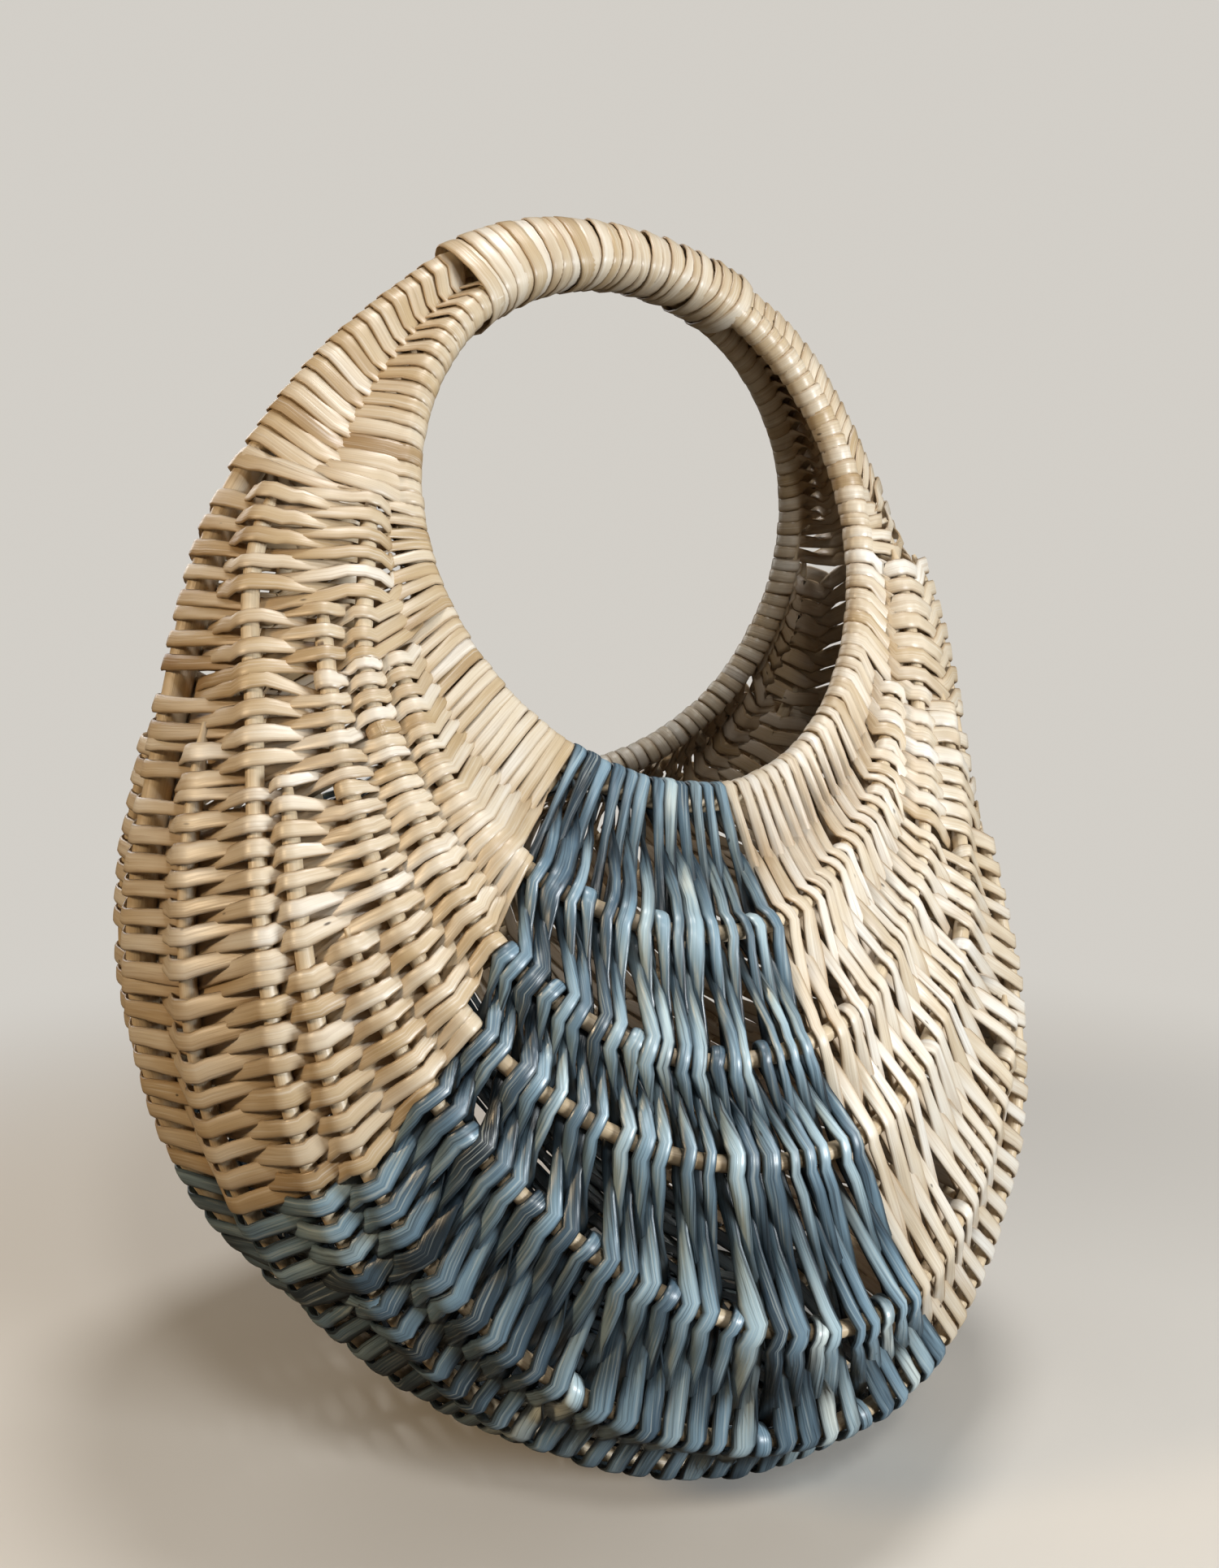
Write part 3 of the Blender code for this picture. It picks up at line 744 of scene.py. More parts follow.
def willow(name, tones, streak, speck, hidden, streaking, specks, edge_shading, under_shading, gloss, fibre_depth):
    """A finish for skeins and rods.

    Tones go from low to high. The colours streak, speck and hidden are laid over them, as strongly
    as streaking, specks, the edge shading (painted shade in the streak colour along the edges) and
    the under shading (painted shade in the hidden colour) say.
    """
    material = bpy.data.materials.new(name)
    material.use_nodes = True
    tree = material.node_tree
    tree.nodes.clear()
    sheet = Link(tree)
    grain = sheet.node("ShaderNodeAttribute", {"attribute_name": "grain"})[1]
    edge = sheet.node("ShaderNodeAttribute", {"attribute_name": "edge"})[2]
    unshaded = sheet.node("ShaderNodeAttribute", {"attribute_name": "open"})[2]
    along, across, tone = grain.parts()

    def pattern(kind, waves, values):
        run, spread = waves
        place = sheet.vector(along * run, across * spread, tone * 57)
        return sheet.node(kind, {}, {"Vector": place, "Scale": 1.0, **values})

    fine = pattern("ShaderNodeTexNoise", FINE_FIBRES, {"Detail": 3.0})[0]
    broad = pattern("ShaderNodeTexNoise", BROAD_STREAKS, {"Detail": 2.0})[0]
    cloud = pattern("ShaderNodeTexNoise", CLOUDS, {"Detail": 2.0})[0]
    spot = pattern("ShaderNodeTexVoronoi", SPECK_CELLS, {})
    shade = tone * 0.75 + (cloud - 0.5) * 0.95 + 0.12
    base = sheet.node("ShaderNodeValToRGB", {"stops": tones}, {0: shade})[0]
    streaks = (broad.ramp(0.48, 0.7) + fine.ramp(0.5, 0.72)) * (streaking / 2)
    bright = (0.5 - fine).ramp(0.02, 0.2) * 0.35
    # Painted shade: the edges of each skein darken towards the streak colour, as dark lines between
    # strands.
    edge_shade = edge.size().ramp(0.5, 1.0) * edge_shading
    base = bright.mixed(base, (*tones[-1][1], 1))
    coloured = (streaks + edge_shade).mixed(base, (*streak, 1))
    # Painted shade: the hidden colour is laid where a skein passes under a rod, turns inside or shows
    # its underside.
    painted_under_shade = (1 - unshaded.ramp(0.0, 0.75)) * under_shading
    coloured = painted_under_shade.mixed(coloured, (*hidden, 1))
    chosen = sheet.node("ShaderNodeSeparateColor", {}, {0: spot[1]})[0]
    dots = (0.2 - spot[0]).ramp(0.0, 0.14) * chosen.ramp(1 - specks, 1 - specks + 0.02)
    coloured = (dots * 0.85).mixed(coloured, (*speck, 1))
    rough = ROUGHNESS - gloss + (fine - 0.5) * 0.35 + streaks * 0.15
    bump = {"Strength": 0.55, "Distance": fibre_depth, "Height": fine * 0.6 + broad * 0.7}
    normal = sheet.node("ShaderNodeBump", {}, bump)[0]
    surface = {"Base Color": coloured, "Roughness": rough, "Normal": normal} | SHEEN
    shader = sheet.node("ShaderNodeBsdfPrincipled", {}, surface)[0]
    sheet.node("ShaderNodeOutputMaterial", {}, {"Surface": shader})
    return material


NATURAL_TONES = (
    (0.0, (0.32, 0.2, 0.09)),
    (0.3, (0.54, 0.405, 0.235)),
    (0.65, (0.72, 0.62, 0.47)),
    (1.0, (0.86, 0.83, 0.76)),
)
BLUE_TONES = (
    (0.0, (0.014, 0.023, 0.031)),
    (0.25, (0.08, 0.132, 0.18)),
    (0.5, (0.225, 0.345, 0.43)),
    (0.75, (0.46, 0.6, 0.65)),
    (1.0, (0.78, 0.83, 0.76)),
)
ROD_TONES = ((0.0, (0.48, 0.34, 0.19)), (0.5, (0.66, 0.53, 0.35)), (1.0, (0.78, 0.67, 0.5)))
# In each finish, hidden is the colour of the painted shade under rods and on inner sides; the edge and
# under shading set its strength.
natural_skein = willow(
    "natural_skein",
    NATURAL_TONES,
    streak=(0.35, 0.225, 0.11),
    speck=(0.05, 0.03, 0.018),
    hidden=(0.4, 0.25, 0.115),
    streaking=0.55,
    specks=0.06,
    edge_shading=0.5,
    under_shading=0.5,
    gloss=0.17,
    fibre_depth=0.0004,
)
blue_skein = willow(
    "blue_skein",
    BLUE_TONES,
    streak=(0.014, 0.026, 0.036),
    speck=(0.008, 0.01, 0.012),
    hidden=(0.007, 0.012, 0.016),
    streaking=1.0,
    specks=0.04,
    edge_shading=0.75,
    under_shading=0.9,
    gloss=0.24,
    fibre_depth=0.0005,
)
peeled_rod = willow(
    "peeled_rod",
    ROD_TONES,
    streak=(0.42, 0.29, 0.16),
    speck=(0.12, 0.07, 0.04),
    hidden=(0.26, 0.155, 0.068),
    streaking=0.7,
    specks=0.03,
    edge_shading=0.0,
    under_shading=0.3,
    gloss=0.12,
    fibre_depth=0.0003,
)
print("finishes:", natural_skein.name, blue_skein.name, peeled_rod.name)

# %% [markdown]
# Sweeping a section along a line
#
# A Geometry Nodes tree does what a bevelled curve does, but takes the frame of each point from
# attributes, so a skein can lie flat, tip and twist just where the weave says. The section is a
# circle squeezed into a lens, whose underside is the flatter one. The tree lifts anything below
# the base plane, stores coordinates for the material, and realizes and paints the result.

# %% The sweep tree
WAVES_PER_METRE = 60
UNDERSIDE = -0.05


def sweep_tree():
    tree = bpy.data.node_groups.new("Sweep along the weave", "GeometryNodeTree")
    sockets = tree.interface
    sockets.new_socket("Geometry", in_out="INPUT", socket_type="NodeSocketGeometry")
    sockets.new_socket("Sides", in_out="INPUT", socket_type="NodeSocketInt").default_value = 10
    for name, value in (("Flatness", 0.7), ("Underside share", 0.8), ("Thickness", 0.001)):
        sockets.new_socket(name, in_out="INPUT", socket_type="NodeSocketFloat").default_value = value
    for name, value in (("Unevenness", 0.0001), ("Seed", 1.0), ("Base plane", 0.0003)):
        sockets.new_socket(name, in_out="INPUT", socket_type="NodeSocketFloat").default_value = value
    sockets.new_socket("Finish", in_out="INPUT", socket_type="NodeSocketMaterial")
    sockets.new_socket("Geometry", in_out="OUTPUT", socket_type="NodeSocketGeometry")
    sheet = Link(tree)
    lines, sides, flat, under, thick, uneven, seed, base, finish = sheet.node("NodeGroupInput")[:9]

    def stored(geometry, name, kind, value):
        settings = {"data_type": kind, "domain": "POINT"}
        values = {"Geometry": geometry, "Name": name, "Value": value}
        return sheet.node("GeometryNodeStoreNamedAttribute", settings, values)[0]

    def named(name, kind):
        return sheet.node("GeometryNodeInputNamedAttribute", {"data_type": kind}, {"Name": name})[0]

    def added(first, second):
        return sheet.node("ShaderNodeVectorMath", {"operation": "ADD"}, {0: first, 1: second})[0]

    def scaled(first, amount):
        settings = {"operation": "SCALE"}
        return sheet.node("ShaderNodeVectorMath", settings, {0: first, "Scale": amount})[0]

    curves = sheet.node("GeometryNodeMeshToCurve", {}, {"Mesh": lines})[0]
    circle_size = {"Resolution": sides, "Radius": 1.0}
    circle = sheet.node("GeometryNodeCurvePrimitiveCircle", {}, circle_size)[0]
    side_x, side_y, _ = sheet.node("GeometryNodeInputPosition")[0].parts()
    below = side_y.sum("LESS_THAN", side_y, 0.0)
    lens = side_y.size() ** flat * (1 - below * (1 + under))
    circle = stored(circle, "section", "FLOAT_VECTOR", sheet.vector(side_x, lens, 0.0))
    sweeping = {"Curve": curves, "Profile Curve": circle, "Fill Caps": True}
    mesh = sheet.node("GeometryNodeCurveToMesh", {}, sweeping)[0]
    own_x, own_y, _ = named("section", "FLOAT_VECTOR").parts()
    centre, across, out_of = (named(label, "FLOAT_VECTOR") for label in ("centre", "across", "face"))
    along, tone = named("along", "FLOAT"), named("tone", "FLOAT")
    at = sheet.vector(along * WAVES_PER_METRE, own_x * 0.7, tone * 91 + seed)
    wave = sheet.node("ShaderNodeTexNoise", {}, {"Vector": at, "Scale": 1.0, "Detail": 1.0})[0]
    rise = own_y * thick * 0.5 + (wave - 0.5) * uneven * own_y
    x, y, z = added(centre, added(scaled(across, own_x), scaled(out_of, rise))).parts()
    place = sheet.vector(x, y, z.sum("MAXIMUM", z, base))
    grain = sheet.vector(along, own_x * across.length() + own_y * thick, tone)
    mesh = stored(mesh, "grain", "FLOAT_VECTOR", grain)
    mesh = stored(mesh, "edge", "FLOAT", own_x)
    # Painted shade: the underside of every skein and rod gets a lower unshaded share.
    underside_shade = own_y.sum("LESS_THAN", own_y, UNDERSIDE) * UNDER_SHADE_SHARE
    mesh = stored(mesh, "open", "FLOAT", named("open", "FLOAT") * (1 - underside_shade))
    mesh = sheet.node("GeometryNodeSetPosition", {}, {"Geometry": mesh, "Position": place})[0]
    for name in ("centre", "across", "face", "section"):
        mesh = sheet.node("GeometryNodeRemoveAttribute", {}, {"Geometry": mesh, "Name": name})[0]
    mesh = sheet.node("GeometryNodeSetShadeSmooth", {}, {"Geometry": mesh})[0]
    mesh = sheet.node("GeometryNodeRealizeInstances", {}, {"Geometry": mesh})[0]
    mesh = sheet.node("GeometryNodeSetMaterial", {}, {"Geometry": mesh, "Material": finish})[0]
    sheet.node("NodeGroupOutput", {}, {"Geometry": mesh})
    return tree


sweep = sweep_tree()
sweep_sockets = [item for item in sweep.interface.items_tree if item.in_out == "INPUT"]
sweep_inputs = {item.name: item.identifier for item in sweep_sockets}
print("sweep inputs:", ", ".join(sweep_inputs))

# %% [markdown]
# From lines to a finished piece
#
# The lines of a piece go into one mesh of bare edges, with the frame of each point as
# attributes. The tree is its only modifier. Its inputs are set by their identifiers before the
# first evaluation, and the evaluated result becomes a plain mesh with no modifier left.

# %% Sweep a list of lines


def swept(name, lines, inputs):
    """One piece from lines of (points, across, face, along, unshaded share for the painted shade,
    tone, closed).
    """
    mesh = bpy.data.meshes.new(name + "_lines")
    edges, count = [], 0
    for points, *_, closed in lines:
        ends = np.arange(count, count + len(points))
        pairs = np.stack([ends[:-1], ends[1:]], axis=1).tolist()
        edges += pairs + ([[int(ends[-1]), int(ends[0])]] if closed else [])
        count += len(points)
    joined = [np.concatenate([np.asarray(line[k], float) for line in lines]) for k in range(5)]
    tones = np.concatenate([np.full(len(line[0]), line[5]) for line in lines])
    mesh.from_pydata(joined[0].tolist(), edges, [])
    for label, values in (("centre", joined[0]), ("across", joined[1]), ("face", joined[2])):
        mesh.attributes.new(label, "FLOAT_VECTOR", "POINT").data.foreach_set("vector", values.ravel())
    for label, values in (("along", joined[3]), ("open", joined[4]), ("tone", tones)):
        mesh.attributes.new(label, "FLOAT", "POINT").data.foreach_set("value", values)
    bare = bpy.data.objects.new(name + "_lines", mesh)
    bpy.context.scene.collection.objects.link(bare)
    modifier = bare.modifiers.new("Sweep", "NODES")
    modifier.node_group = sweep
    for label, value in inputs.items():
        modifier[sweep_inputs[label]] = value
    graph = bpy.context.evaluated_depsgraph_get()
    final = bpy.data.meshes.new_from_object(bare.evaluated_get(graph))
    bpy.data.objects.remove(bare)
    piece = bpy.data.objects.new(name, final)
    bpy.context.scene.collection.objects.link(piece)
    shape = bmesh.new()
    shape.from_mesh(final)
    volume = shape.calc_volume(signed=True)
    if volume < 0:
        bmesh.ops.reverse_faces(shape, faces=shape.faces)
        shape.to_mesh(final)
    shape.free()
    print(f"{name}: {len(lines)} lines, {len(final.polygons)} faces, {abs(volume) * 1e6:.1f} cm3")
    return piece


def dress(piece, nodes):
    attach(piece, "root")
    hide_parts(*nodes)


# %% [markdown]
# Ribs and hoops
#
# Each rod is one peeled willow stick, round, a little uneven, and whittled to a point where it
# is a rib. The same tree sweeps them, with a round section. The hoops show only between skeins.
# The keel hoop is the thickest, so its line is set back until its back lies with the ribs'.

# %% Sweep the rods
ROD_STEP = 1.5
ROD_SIDES = 14
ROD_UNEVENNESS = 0.0006
WHITTLED_TURNS = 5
TIP_SHARE = 0.28
TIP_POWER = 0.7
SWELL_SHARE = 0.06
SWELL_TURNS = 17
SWELL_START = 2.79


def rod_radii(rod, turns):
    """A hoop is even all round. A rib swells a little here and there, and ends in points."""
    if rod.name.endswith("hoop"):
        return np.full(len(turns), rod.radius)
    tip = np.minimum(turns - turns[0], turns[-1] - turns) / WHITTLED_TURNS
    pointed = TIP_SHARE + (1 - TIP_SHARE) * np.clip(tip, 0, 1) ** TIP_POWER
    return rod.radius * pointed * (
        1 + SWELL_SHARE * np.sin(turns / SWELL_TURNS + len(rod.name) + SWELL_START)
    )


def rod_tone(name):
    """One of ten tones, from the letters of the name, so that neighbours differ."""
    return 0.35 + 0.4 * ((len(name) * 7 + int(name[-1], 36)) % 10) / 10


for rod in rods:
    hoop = rod.name.endswith("hoop")
    ends = (0, 360 - ROD_STEP) if hoop else (rod.first, rod.last)
    turns = np.arange(ends[0], ends[1] + ROD_STEP / 2, ROD_STEP)
    radii = rod_radii(rod, turns)
    points = rod.point(turns)
    out = unit(np.cross(form(turns, rod.share_at(turns) + SLOPE_SHARE / 2) - points, rod.way(turns)))
    if rod.name == "keel_hoop":
        points = points - (KEEL_ROD_RADIUS - RIB_RADIUS) * out
    across, face, along = line_frames(points, out, np.zeros(len(points)), hoop)
    face = face * (radii / rod.radius)[:, None]
    # Rods have no painted shade along their length; the sweep adds painted shade on their underside.
    unshaded_shares = np.ones(len(points))
    line = (points, across * radii[:, None], face, along, unshaded_shares, rod_tone(rod.name), hoop)
    settings = {"Sides": ROD_SIDES, "Flatness": 1.0, "Underside share": 1.0}
    settings |= {"Thickness": 2 * rod.radius, "Unevenness": ROD_UNEVENNESS}
    settings |= {"Base plane": 0.0, "Finish": peeled_rod}
    dress(swept(rod.name + "_rod", [line], settings), [rod.name])

# %% [markdown]
# The woven wall
#
# Five stretches of weave make the wall and the ears, and each CAD run of skeins is replaced by a
# piece with the true number of rows. Natural skeins are flat, ears are covered with wide ones
# that lap over each other, and the blue skeins are narrower and rounder.
#
# A look gives a stretch its sizes and habits. Width is that of a skein whose pair has the pair
# pitch, and lap and keel width are shares of it round a rim and at the keel. Sag moves a span
# along the rods. Tilt is a share of the angle at which rows of that pitch clear each other, roll
# is in degrees, and crossing and turned by say over which share of a span a skein tips or turns.
# Bend is the radius round a rod. Sway and looseness scatter the crossings, spread the widths, and
# tones are a mean and its scatter. Along a stretch one look can change into another.

# %% Weave every pair of rows
LEFT_RUNS = [f"natural_weave_left_{k}" for k in (1, 2, 3)]
BLUE_RUNS = [f"blue_weave_{k}" for k in (1, 2, 3)]
RIGHT_RUNS = [f"natural_weave_right_{k}" for k in (1, 2, 3, 4, 5)]
EAR = dict(width=0.0074, thickness=0.0011, flatness=0.32, pair_pitch=0.0062, lap=1.2, keel_width=1)
EAR |= dict(sag=0.0052, tilt=0, roll=9, crossing=0.3, turned_by=0.5, bend=0.006)
EAR |= dict(sway=0.0003, looseness=0.0006, spread=0.06, tones=(0.5, 0.13))
RIGHT_EAR = EAR | dict(sag=-0.0045)
NATURAL = dict(width=0.0075, thickness=0.0013, flatness=0.4, pair_pitch=0.0105, lap=1.05)
NATURAL |= dict(keel_width=1, sag=0, tilt=0.3, roll=5, crossing=0.26, turned_by=0.7, bend=0.012)
NATURAL |= dict(sway=0.0005, looseness=0.0008, spread=0.07, tones=(0.5, 0.22))
BLUE = dict(width=0.0052, thickness=0.0021, flatness=0.75, pair_pitch=0.007, lap=0.97)
BLUE |= dict(keel_width=1.28, sag=0, tilt=1.3, roll=0, crossing=0.34, turned_by=0.9, bend=0.010)
BLUE |= dict(sway=0.0007, looseness=0.0014, spread=0.12, tones=(0.54, 0.27))
# Painted shade: darker blue tones for the left part of the blue, where shadow falls.
BLUE_IN_PAINTED_SHADE = BLUE | dict(tones=(0.27, 0.18))
PALE_RIGHT = NATURAL | dict(width=0.0049, pair_pitch=0.0078, lap=0.97, keel_width=1.15, tilt=1.4)
PALE_RIGHT |= dict(crossing=0.36, bend=0.009, sway=0.0008, spread=0.12, tones=(0.85, 0.2))
UPPER_RIGHT = NATURAL | dict(width=0.0064, pair_pitch=0.0072, tones=(0.7, 0.2))
WIDTH_LIMIT = 0.3
RIPPLE_SHARE = 0.06
RIPPLES = (60, 110)
UNEVENNESS = 0.0003


def between(first, second, share):
    """The look of a skein part of the way from one look to another."""
    return {key: np.multiply(first[key], 1 - share) + np.multiply(second[key], share) for key in first}


def skein_of_pair(pair, kept, look):
    """One closed line for the sweep, with its width, ripple and tone drawn by chance."""
    width = look["width"] * (1 + np.clip(chance.normal(0, look["spread"]), -WIDTH_LIMIT, WIDTH_LIMIT))
    points, faces, twists, widths, unshaded_shares = pair_line(pair, kept, width, look)
    across, face, along = line_frames(points, faces, twists, True)
    ripple = 1 + RIPPLE_SHARE * np.sin(along * chance.uniform(*RIPPLES) + chance.uniform(0, 6))
    tone = float(np.clip(chance.normal(*look["tones"]), 0, 1))
    return points, across * (widths / 2 * ripple)[:, None], face, along, unshaded_shares, tone, True


FINISHES = {"natural_skein": natural_skein, "blue_skein": blue_skein}
STRETCHES = (
    ("left_ear", ["left_ear_lashing"], "natural_skein", EAR, EAR, (0, 1)),
    ("natural_left", LEFT_RUNS, "natural_skein", NATURAL, NATURAL, (0, 1)),
    # The blue begins in painted shade on its left and changes to its own tones a third of the way
    # across.
    ("blue", BLUE_RUNS, "blue_skein", BLUE_IN_PAINTED_SHADE, BLUE, (0.08, 0.35)),
    ("natural_right", RIGHT_RUNS, "natural_skein", PALE_RIGHT, UPPER_RIGHT, (0.4, 0.65)),
    ("right_ear", ["right_ear_lashing"], "natural_skein", RIGHT_EAR, RIGHT_EAR, (0, 1)),
)
for region, nodes, slot, first_look, last_look, changing in STRETCHES:
    pairs = [p for p in range(len(regions)) if regions[p] == region]
    settings = {"Thickness": first_look["thickness"], "Flatness": first_look["flatness"]}
    settings |= {"Unevenness": UNEVENNESS, "Finish": FINISHES[slot]}
    for k, node in enumerate(nodes):
        lines = []
        for pair in pairs[len(pairs) * k // len(nodes) : len(pairs) * (k + 1) // len(nodes)]:
            change = np.interp(pairs.index(pair) / len(pairs), changing, (0, 1))
            look = between(first_look, last_look, change)
            for back in (False,) if pair_spans[pair][1] == 1 else (False, True):
                kept = kept_rods(pair, back)
                if len(kept) >= 2:
                    lines.append(skein_of_pair(pair, kept, look))
        dress(swept(node + "_skeins", lines, settings), [node])

# %% [markdown]
# The bound handle
#
# Over the top the three hoops lie together, and a long skein is wound round them, each turn
# lapping a little over the last. At each angle the hoops' furthest reach that way gives the
# outline of a band stretched round them, and leaving out its quick waves rounds it, as filling
# and skein do. Turns vary in width and slant as a hand lays them.

# %% Wind the handle
HANDLE_TURNS = (47, -21)
HANDLE_LOOPS = 27
LOOP_SIDES = 24
LAP_WIDTH = 0.0072
LAP_THICKNESS = 0.0012
LAP_FLATNESS = 0.32
LAP_UNEVENNESS = 0.0002
LAP_SIDES = 12
LAP_TILT = 9
LAP_LIFT = 0.0009
LAP_RISE = 0.0003
LAP_RISE_PACE = 2.6
LAP_SLANT = 0.8
LAP_SHIFT = 0.14
LAP_WIDTH_SHARES = (0.92, 1.16)
LAP_TONES = (0.58, 0.14)
WHOLE_ANGLE = 6.28
FIRST_QUARTER = 0.25
OUTLINE_STEPS = 96
OUTLINE_EASE = 0.3
hoops = [rods[0], rods[-1], rods[-2]]


def bundle_outline(turn, angle, lift):
    """The point of a smooth outline about the hoops at an angle, 0 away from the opening."""
    x, up = leaned(-math.sin(math.radians(turn)), math.cos(math.radians(turn)))
    radial, sideways = np.array([x, 0, up]), np.array([0.0, 1.0, 0.0])
    centres = np.array([hoop.point(turn) for hoop in hoops])
    middle = (centres[0] + centres[1] + 2 * centres[2]) / 4
    around = np.linspace(0, 2 * math.pi, OUTLINE_STEPS, endpoint=False)
    facings = np.outer(np.cos(around), radial) + np.outer(np.sin(around), sideways)
    radii = np.array([hoop.radius for hoop in hoops])
    reach = ((centres - middle) @ facings.T + radii[:, None]).max(axis=0)
    waves = np.fft.rfft(reach) / OUTLINE_STEPS
    counts = np.arange(len(waves))
    waves = waves * np.exp(-((counts * OUTLINE_EASE) ** 2) / 2) * np.where(counts > 0, 2, 1)
    turned = waves * np.exp(1j * counts * angle)
    facing = radial * math.cos(angle) + sideways * math.sin(angle)
    beside = sideways * math.cos(angle) - radial * math.sin(angle)
    reach, change = turned.real.sum(), (turned * 1j * counts).real.sum()
    return middle + facing * (reach + lift) + beside * change, facing


def eased(values, place):
    """A value between those of two loops, at a place counted in loops."""
    loop, u = int(place), place - int(place)
    ease = u * u * (3 - 2 * u)
    return values[loop] * (1 - ease) + values[loop + 1] * ease


points, faces, halves = [], [], []
start, end = HANDLE_TURNS
slants = chance.normal(0, LAP_SLANT, HANDLE_LOOPS + 2)
slant_start = chance.uniform(0, WHOLE_ANGLE, HANDLE_LOOPS + 2)[0]
shifts = chance.normal(0, LAP_SHIFT, HANDLE_LOOPS + 2)
widths = chance.uniform(*LAP_WIDTH_SHARES, HANDLE_LOOPS + 2)
for step in range(HANDLE_LOOPS * LOOP_SIDES + 1):
    place = step / LOOP_SIDES
    angle = 2 * math.pi * (place + FIRST_QUARTER)
    turn = start + (end - start) * place / HANDLE_LOOPS
    turn += eased(slants, place) * math.cos(angle + slant_start) + eased(shifts, place)
    lift = LAP_THICKNESS / 2 + LAP_LIFT + LAP_RISE * math.sin(LAP_RISE_PACE * place)
    point, facing = bundle_outline(turn, angle, lift)
    points.append(point)
    faces.append(facing)
    halves.append(LAP_WIDTH / 2 * eased(widths, place))
points, faces, halves = np.array(points), np.array(faces), np.array(halves)
across, face, along = line_frames(points, faces, np.full(len(points), float(LAP_TILT)), False)
lines = []
for loop in range(HANDLE_LOOPS):
    part = slice(loop * LOOP_SIDES, (loop + 1) * LOOP_SIDES + 1)
    tone = float(np.clip(chance.normal(*LAP_TONES), 0, 1))
    bands = across[part] * halves[part, None], face[part], along[part]
    lines.append((points[part], *bands, np.ones(LOOP_SIDES + 1), tone, False))
settings = {"Sides": LAP_SIDES, "Thickness": LAP_THICKNESS, "Flatness": LAP_FLATNESS}
settings |= {"Unevenness": LAP_UNEVENNESS, "Finish": natural_skein}
dress(swept("handle_lapping_skein", lines, settings), ["handle_lapping"])

# %% [markdown]
# The floor
#
# The basket stands on a plain pale floor, which keeps its shadow. Only the camera sees the floor
# as pale. Rays that bounce find it darker, so that little light comes up under the belly, as in
# the photo. Far off it fades into the backdrop.

# %% A pale floor
PALE = (0.72, 0.69, 0.64)
FLOOR_BOUNCE = (0.1, 0.08, 0.06)
FLOOR_RADIUS = 12
FADE_FROM, FADE_TO = 0.35, 0.9
BACKDROP = 0.9


def pale_floor():
    material = bpy.data.materials.new("pale_floor")
    material.use_nodes = True
    tree = material.node_tree
    tree.nodes.clear()
    sheet = Link(tree)
    place = sheet.node("ShaderNodeTexCoord")[3]
    far = place.length().ramp(FADE_FROM, FADE_TO)
    seen = sheet.node("ShaderNodeLightPath")[0]
    near = sheet.node("ShaderNodeBsdfDiffuse", {}, {"Color": (*PALE, 1)})[0]
    dim = sheet.node("ShaderNodeBsdfDiffuse", {}, {"Color": (*FLOOR_BOUNCE, 1)})[0]
    glow = sheet.node("ShaderNodeEmission", {}, {"Color": (*PALE, 1), "Strength": BACKDROP})[0]
    floor_seen = sheet.node("ShaderNodeMixShader", {}, {0: far, 1: near, 2: glow})[0]
    both = sheet.node("ShaderNodeMixShader", {}, {0: seen, 1: dim, 2: floor_seen})[0]
    sheet.node("ShaderNodeOutputMaterial", {}, {"Surface": both})
    mesh = bpy.data.meshes.new("floor")
    shape = bmesh.new()
    bmesh.ops.create_circle(shape, cap_ends=True, segments=96, radius=FLOOR_RADIUS)
    shape.to_mesh(mesh)
    shape.free()
    mesh.materials.append(material)
    floor = bpy.data.objects.new("floor", mesh)
    bpy.context.scene.collection.objects.link(floor)
    floor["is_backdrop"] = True


pale_floor()
print("floor radius:", FLOOR_RADIUS, "m")

# %% [markdown]
# The lights
#
# In the photo, soft light falls from the front and from above, and warmer light from the left.
# Round lamps of moderate size give that, at a plain level at which colours render as written. A
# small one adds the glints on the skeins, and weak ones open the right side and the back.

# %% Studio lamps
LAMPS = (
    ("front", (0.5, -1.4, 0.4), (0, 0, 0.22), 0.4, 19.8, (0.93, 0.97, 1)),
    ("above", (0.1, -0.2, 1.95), (0, 0, 0.25), 0.5, 12.8, (1, 0.98, 0.96)),
    ("left", (-1.5, -0.1, 0.8), (0, 0, 0.25), 0.4, 10, (1, 0.74, 0.45)),
    ("glint", (-0.35, -1.2, 1.25), (-0.1, -0.1, 0.25), 0.22, 4.8, (1, 0.98, 0.95)),
    ("right", (1.45, -0.75, 0.62), (0, 0, 0.22), 0.7, 3.5, (1, 0.9, 0.8)),
    ("behind", (-0.3, 1.3, 0.9), (0, 0, 0.25), 0.8, 4, (1, 1, 1)),
)


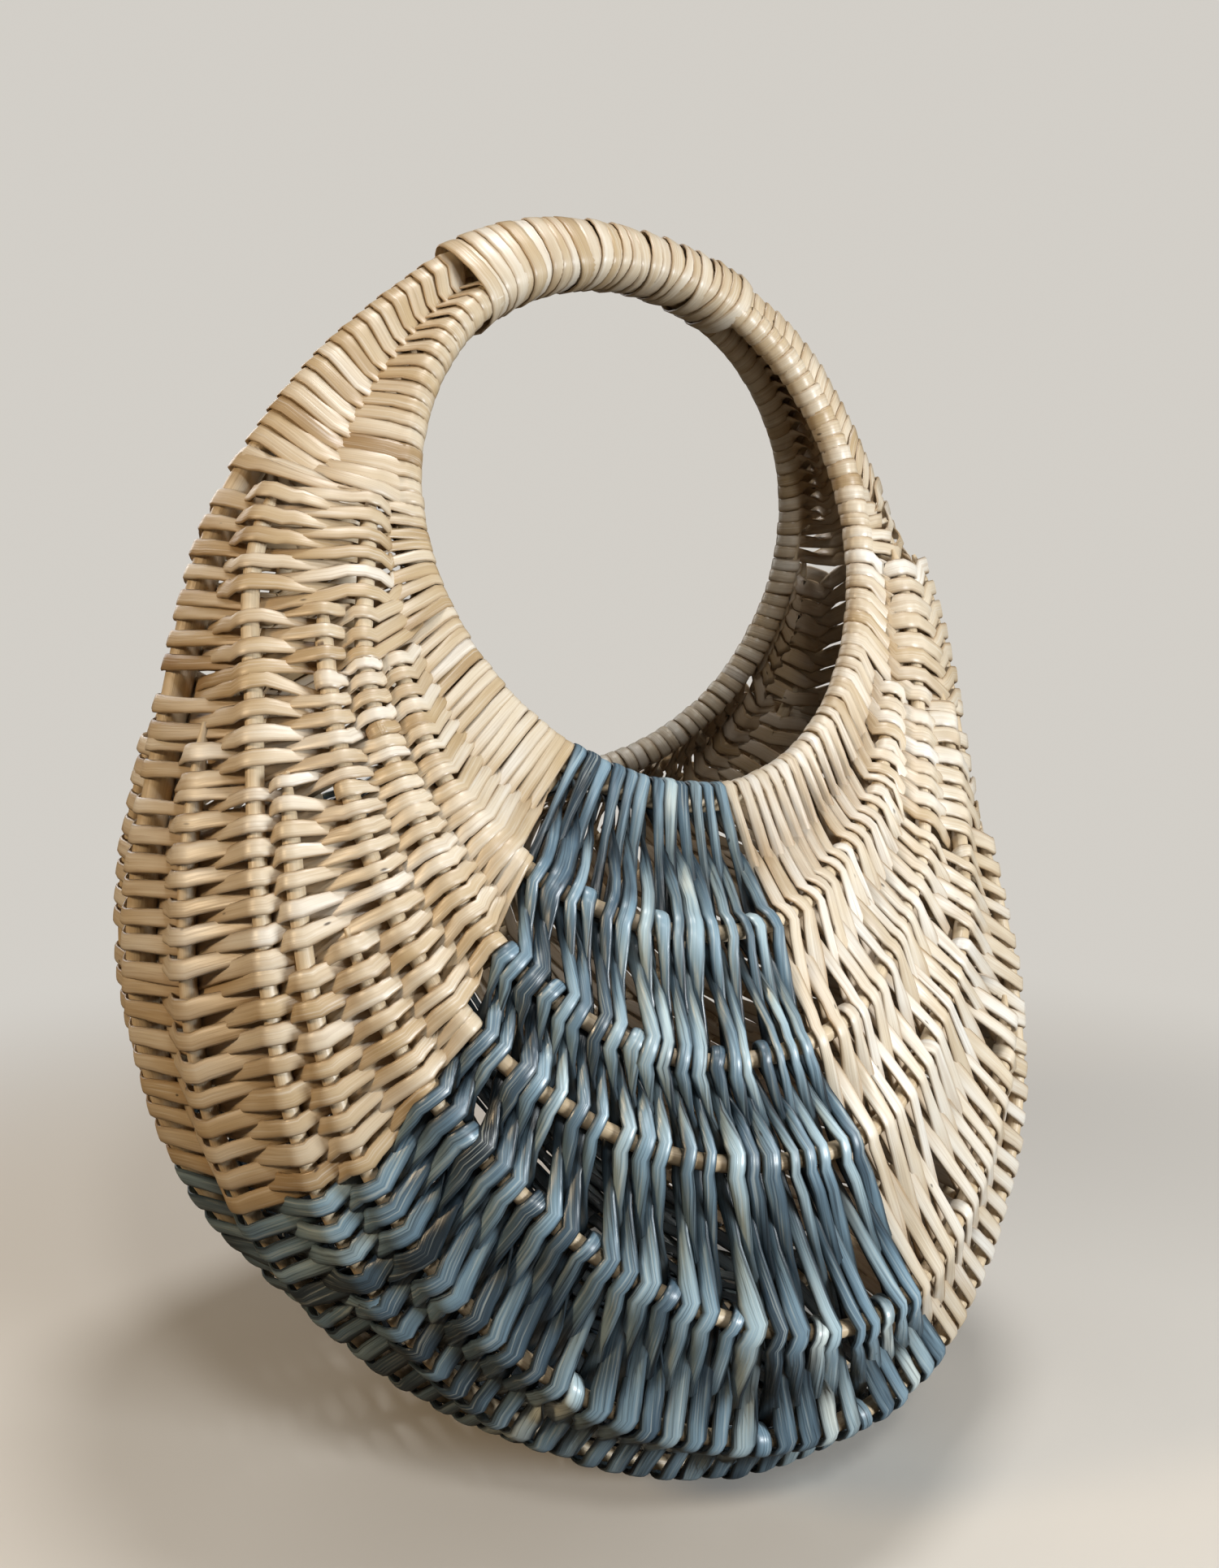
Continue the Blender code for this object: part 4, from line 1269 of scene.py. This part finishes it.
def area_light(name, place, aim, size, power, colour):
    light = bpy.data.lights.new(name, "AREA")
    light.shape, light.size, light.energy, light.color = "DISK", size, power, colour
    lamp = bpy.data.objects.new(name, light)
    lamp.location = place
    way = np.subtract(aim, place)
    lamp.rotation_euler = (
        math.atan2(math.hypot(way[0], way[1]), -way[2]),
        0,
        math.atan2(way[1], way[0]) - math.pi / 2,
    )
    bpy.context.scene.collection.objects.link(lamp)


for lamp_values in LAMPS:
    area_light(*lamp_values)
world = bpy.data.worlds.new("studio")
world.use_nodes = True
bpy.context.scene.world = world
sky = Link(world.node_tree)
world.node_tree.nodes.clear()
seen = sky.node("ShaderNodeLightPath")[0]
light = sky.node("ShaderNodeBackground", {}, {"Color": (0.9, 0.92, 0.95, 1), "Strength": 0.03})[0]
view = sky.node("ShaderNodeBackground", {}, {"Color": (*PALE, 1), "Strength": BACKDROP})[0]
both = sky.node("ShaderNodeMixShader", {}, {0: seen, 1: light, 2: view})[0]
sky.node("ShaderNodeOutputWorld", {}, {"Surface": both})
bpy.context.scene.view_settings.view_transform = "Standard"
print("lamps:", ", ".join(lamp_values[0] for lamp_values in LAMPS))

# %% [markdown]
# The camera
#
# Its place, turn and lens were worked out from the lines of the hoops and the base in the photo,
# so that the render can be laid beside it.

# %% Camera
CAMERA_PLACE = (-0.286787, -0.532897, 0.324283)
CAMERA_AZIMUTH = 29.207
CAMERA_DOWN = 5.51
CAMERA_LENS = 41.22
camera = bpy.data.cameras.new("camera")
camera.sensor_fit, camera.sensor_width, camera.lens = "HORIZONTAL", 36, CAMERA_LENS
viewer = bpy.data.objects.new("camera", camera)
viewer.location = CAMERA_PLACE
viewer.rotation_euler = (math.radians(90 - CAMERA_DOWN), 0, -math.radians(CAMERA_AZIMUTH))
bpy.context.scene.collection.objects.link(viewer)
bpy.context.scene.camera = viewer
print("camera:", np.round(CAMERA_PLACE, 3), "lens:", CAMERA_LENS, "mm")

# %% Boxes
boxes = {"cad": cad_box, "visual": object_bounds()}
for name, box in boxes.items():
    print(name, [tuple(round(c, 4) for c in corner) for corner in box])
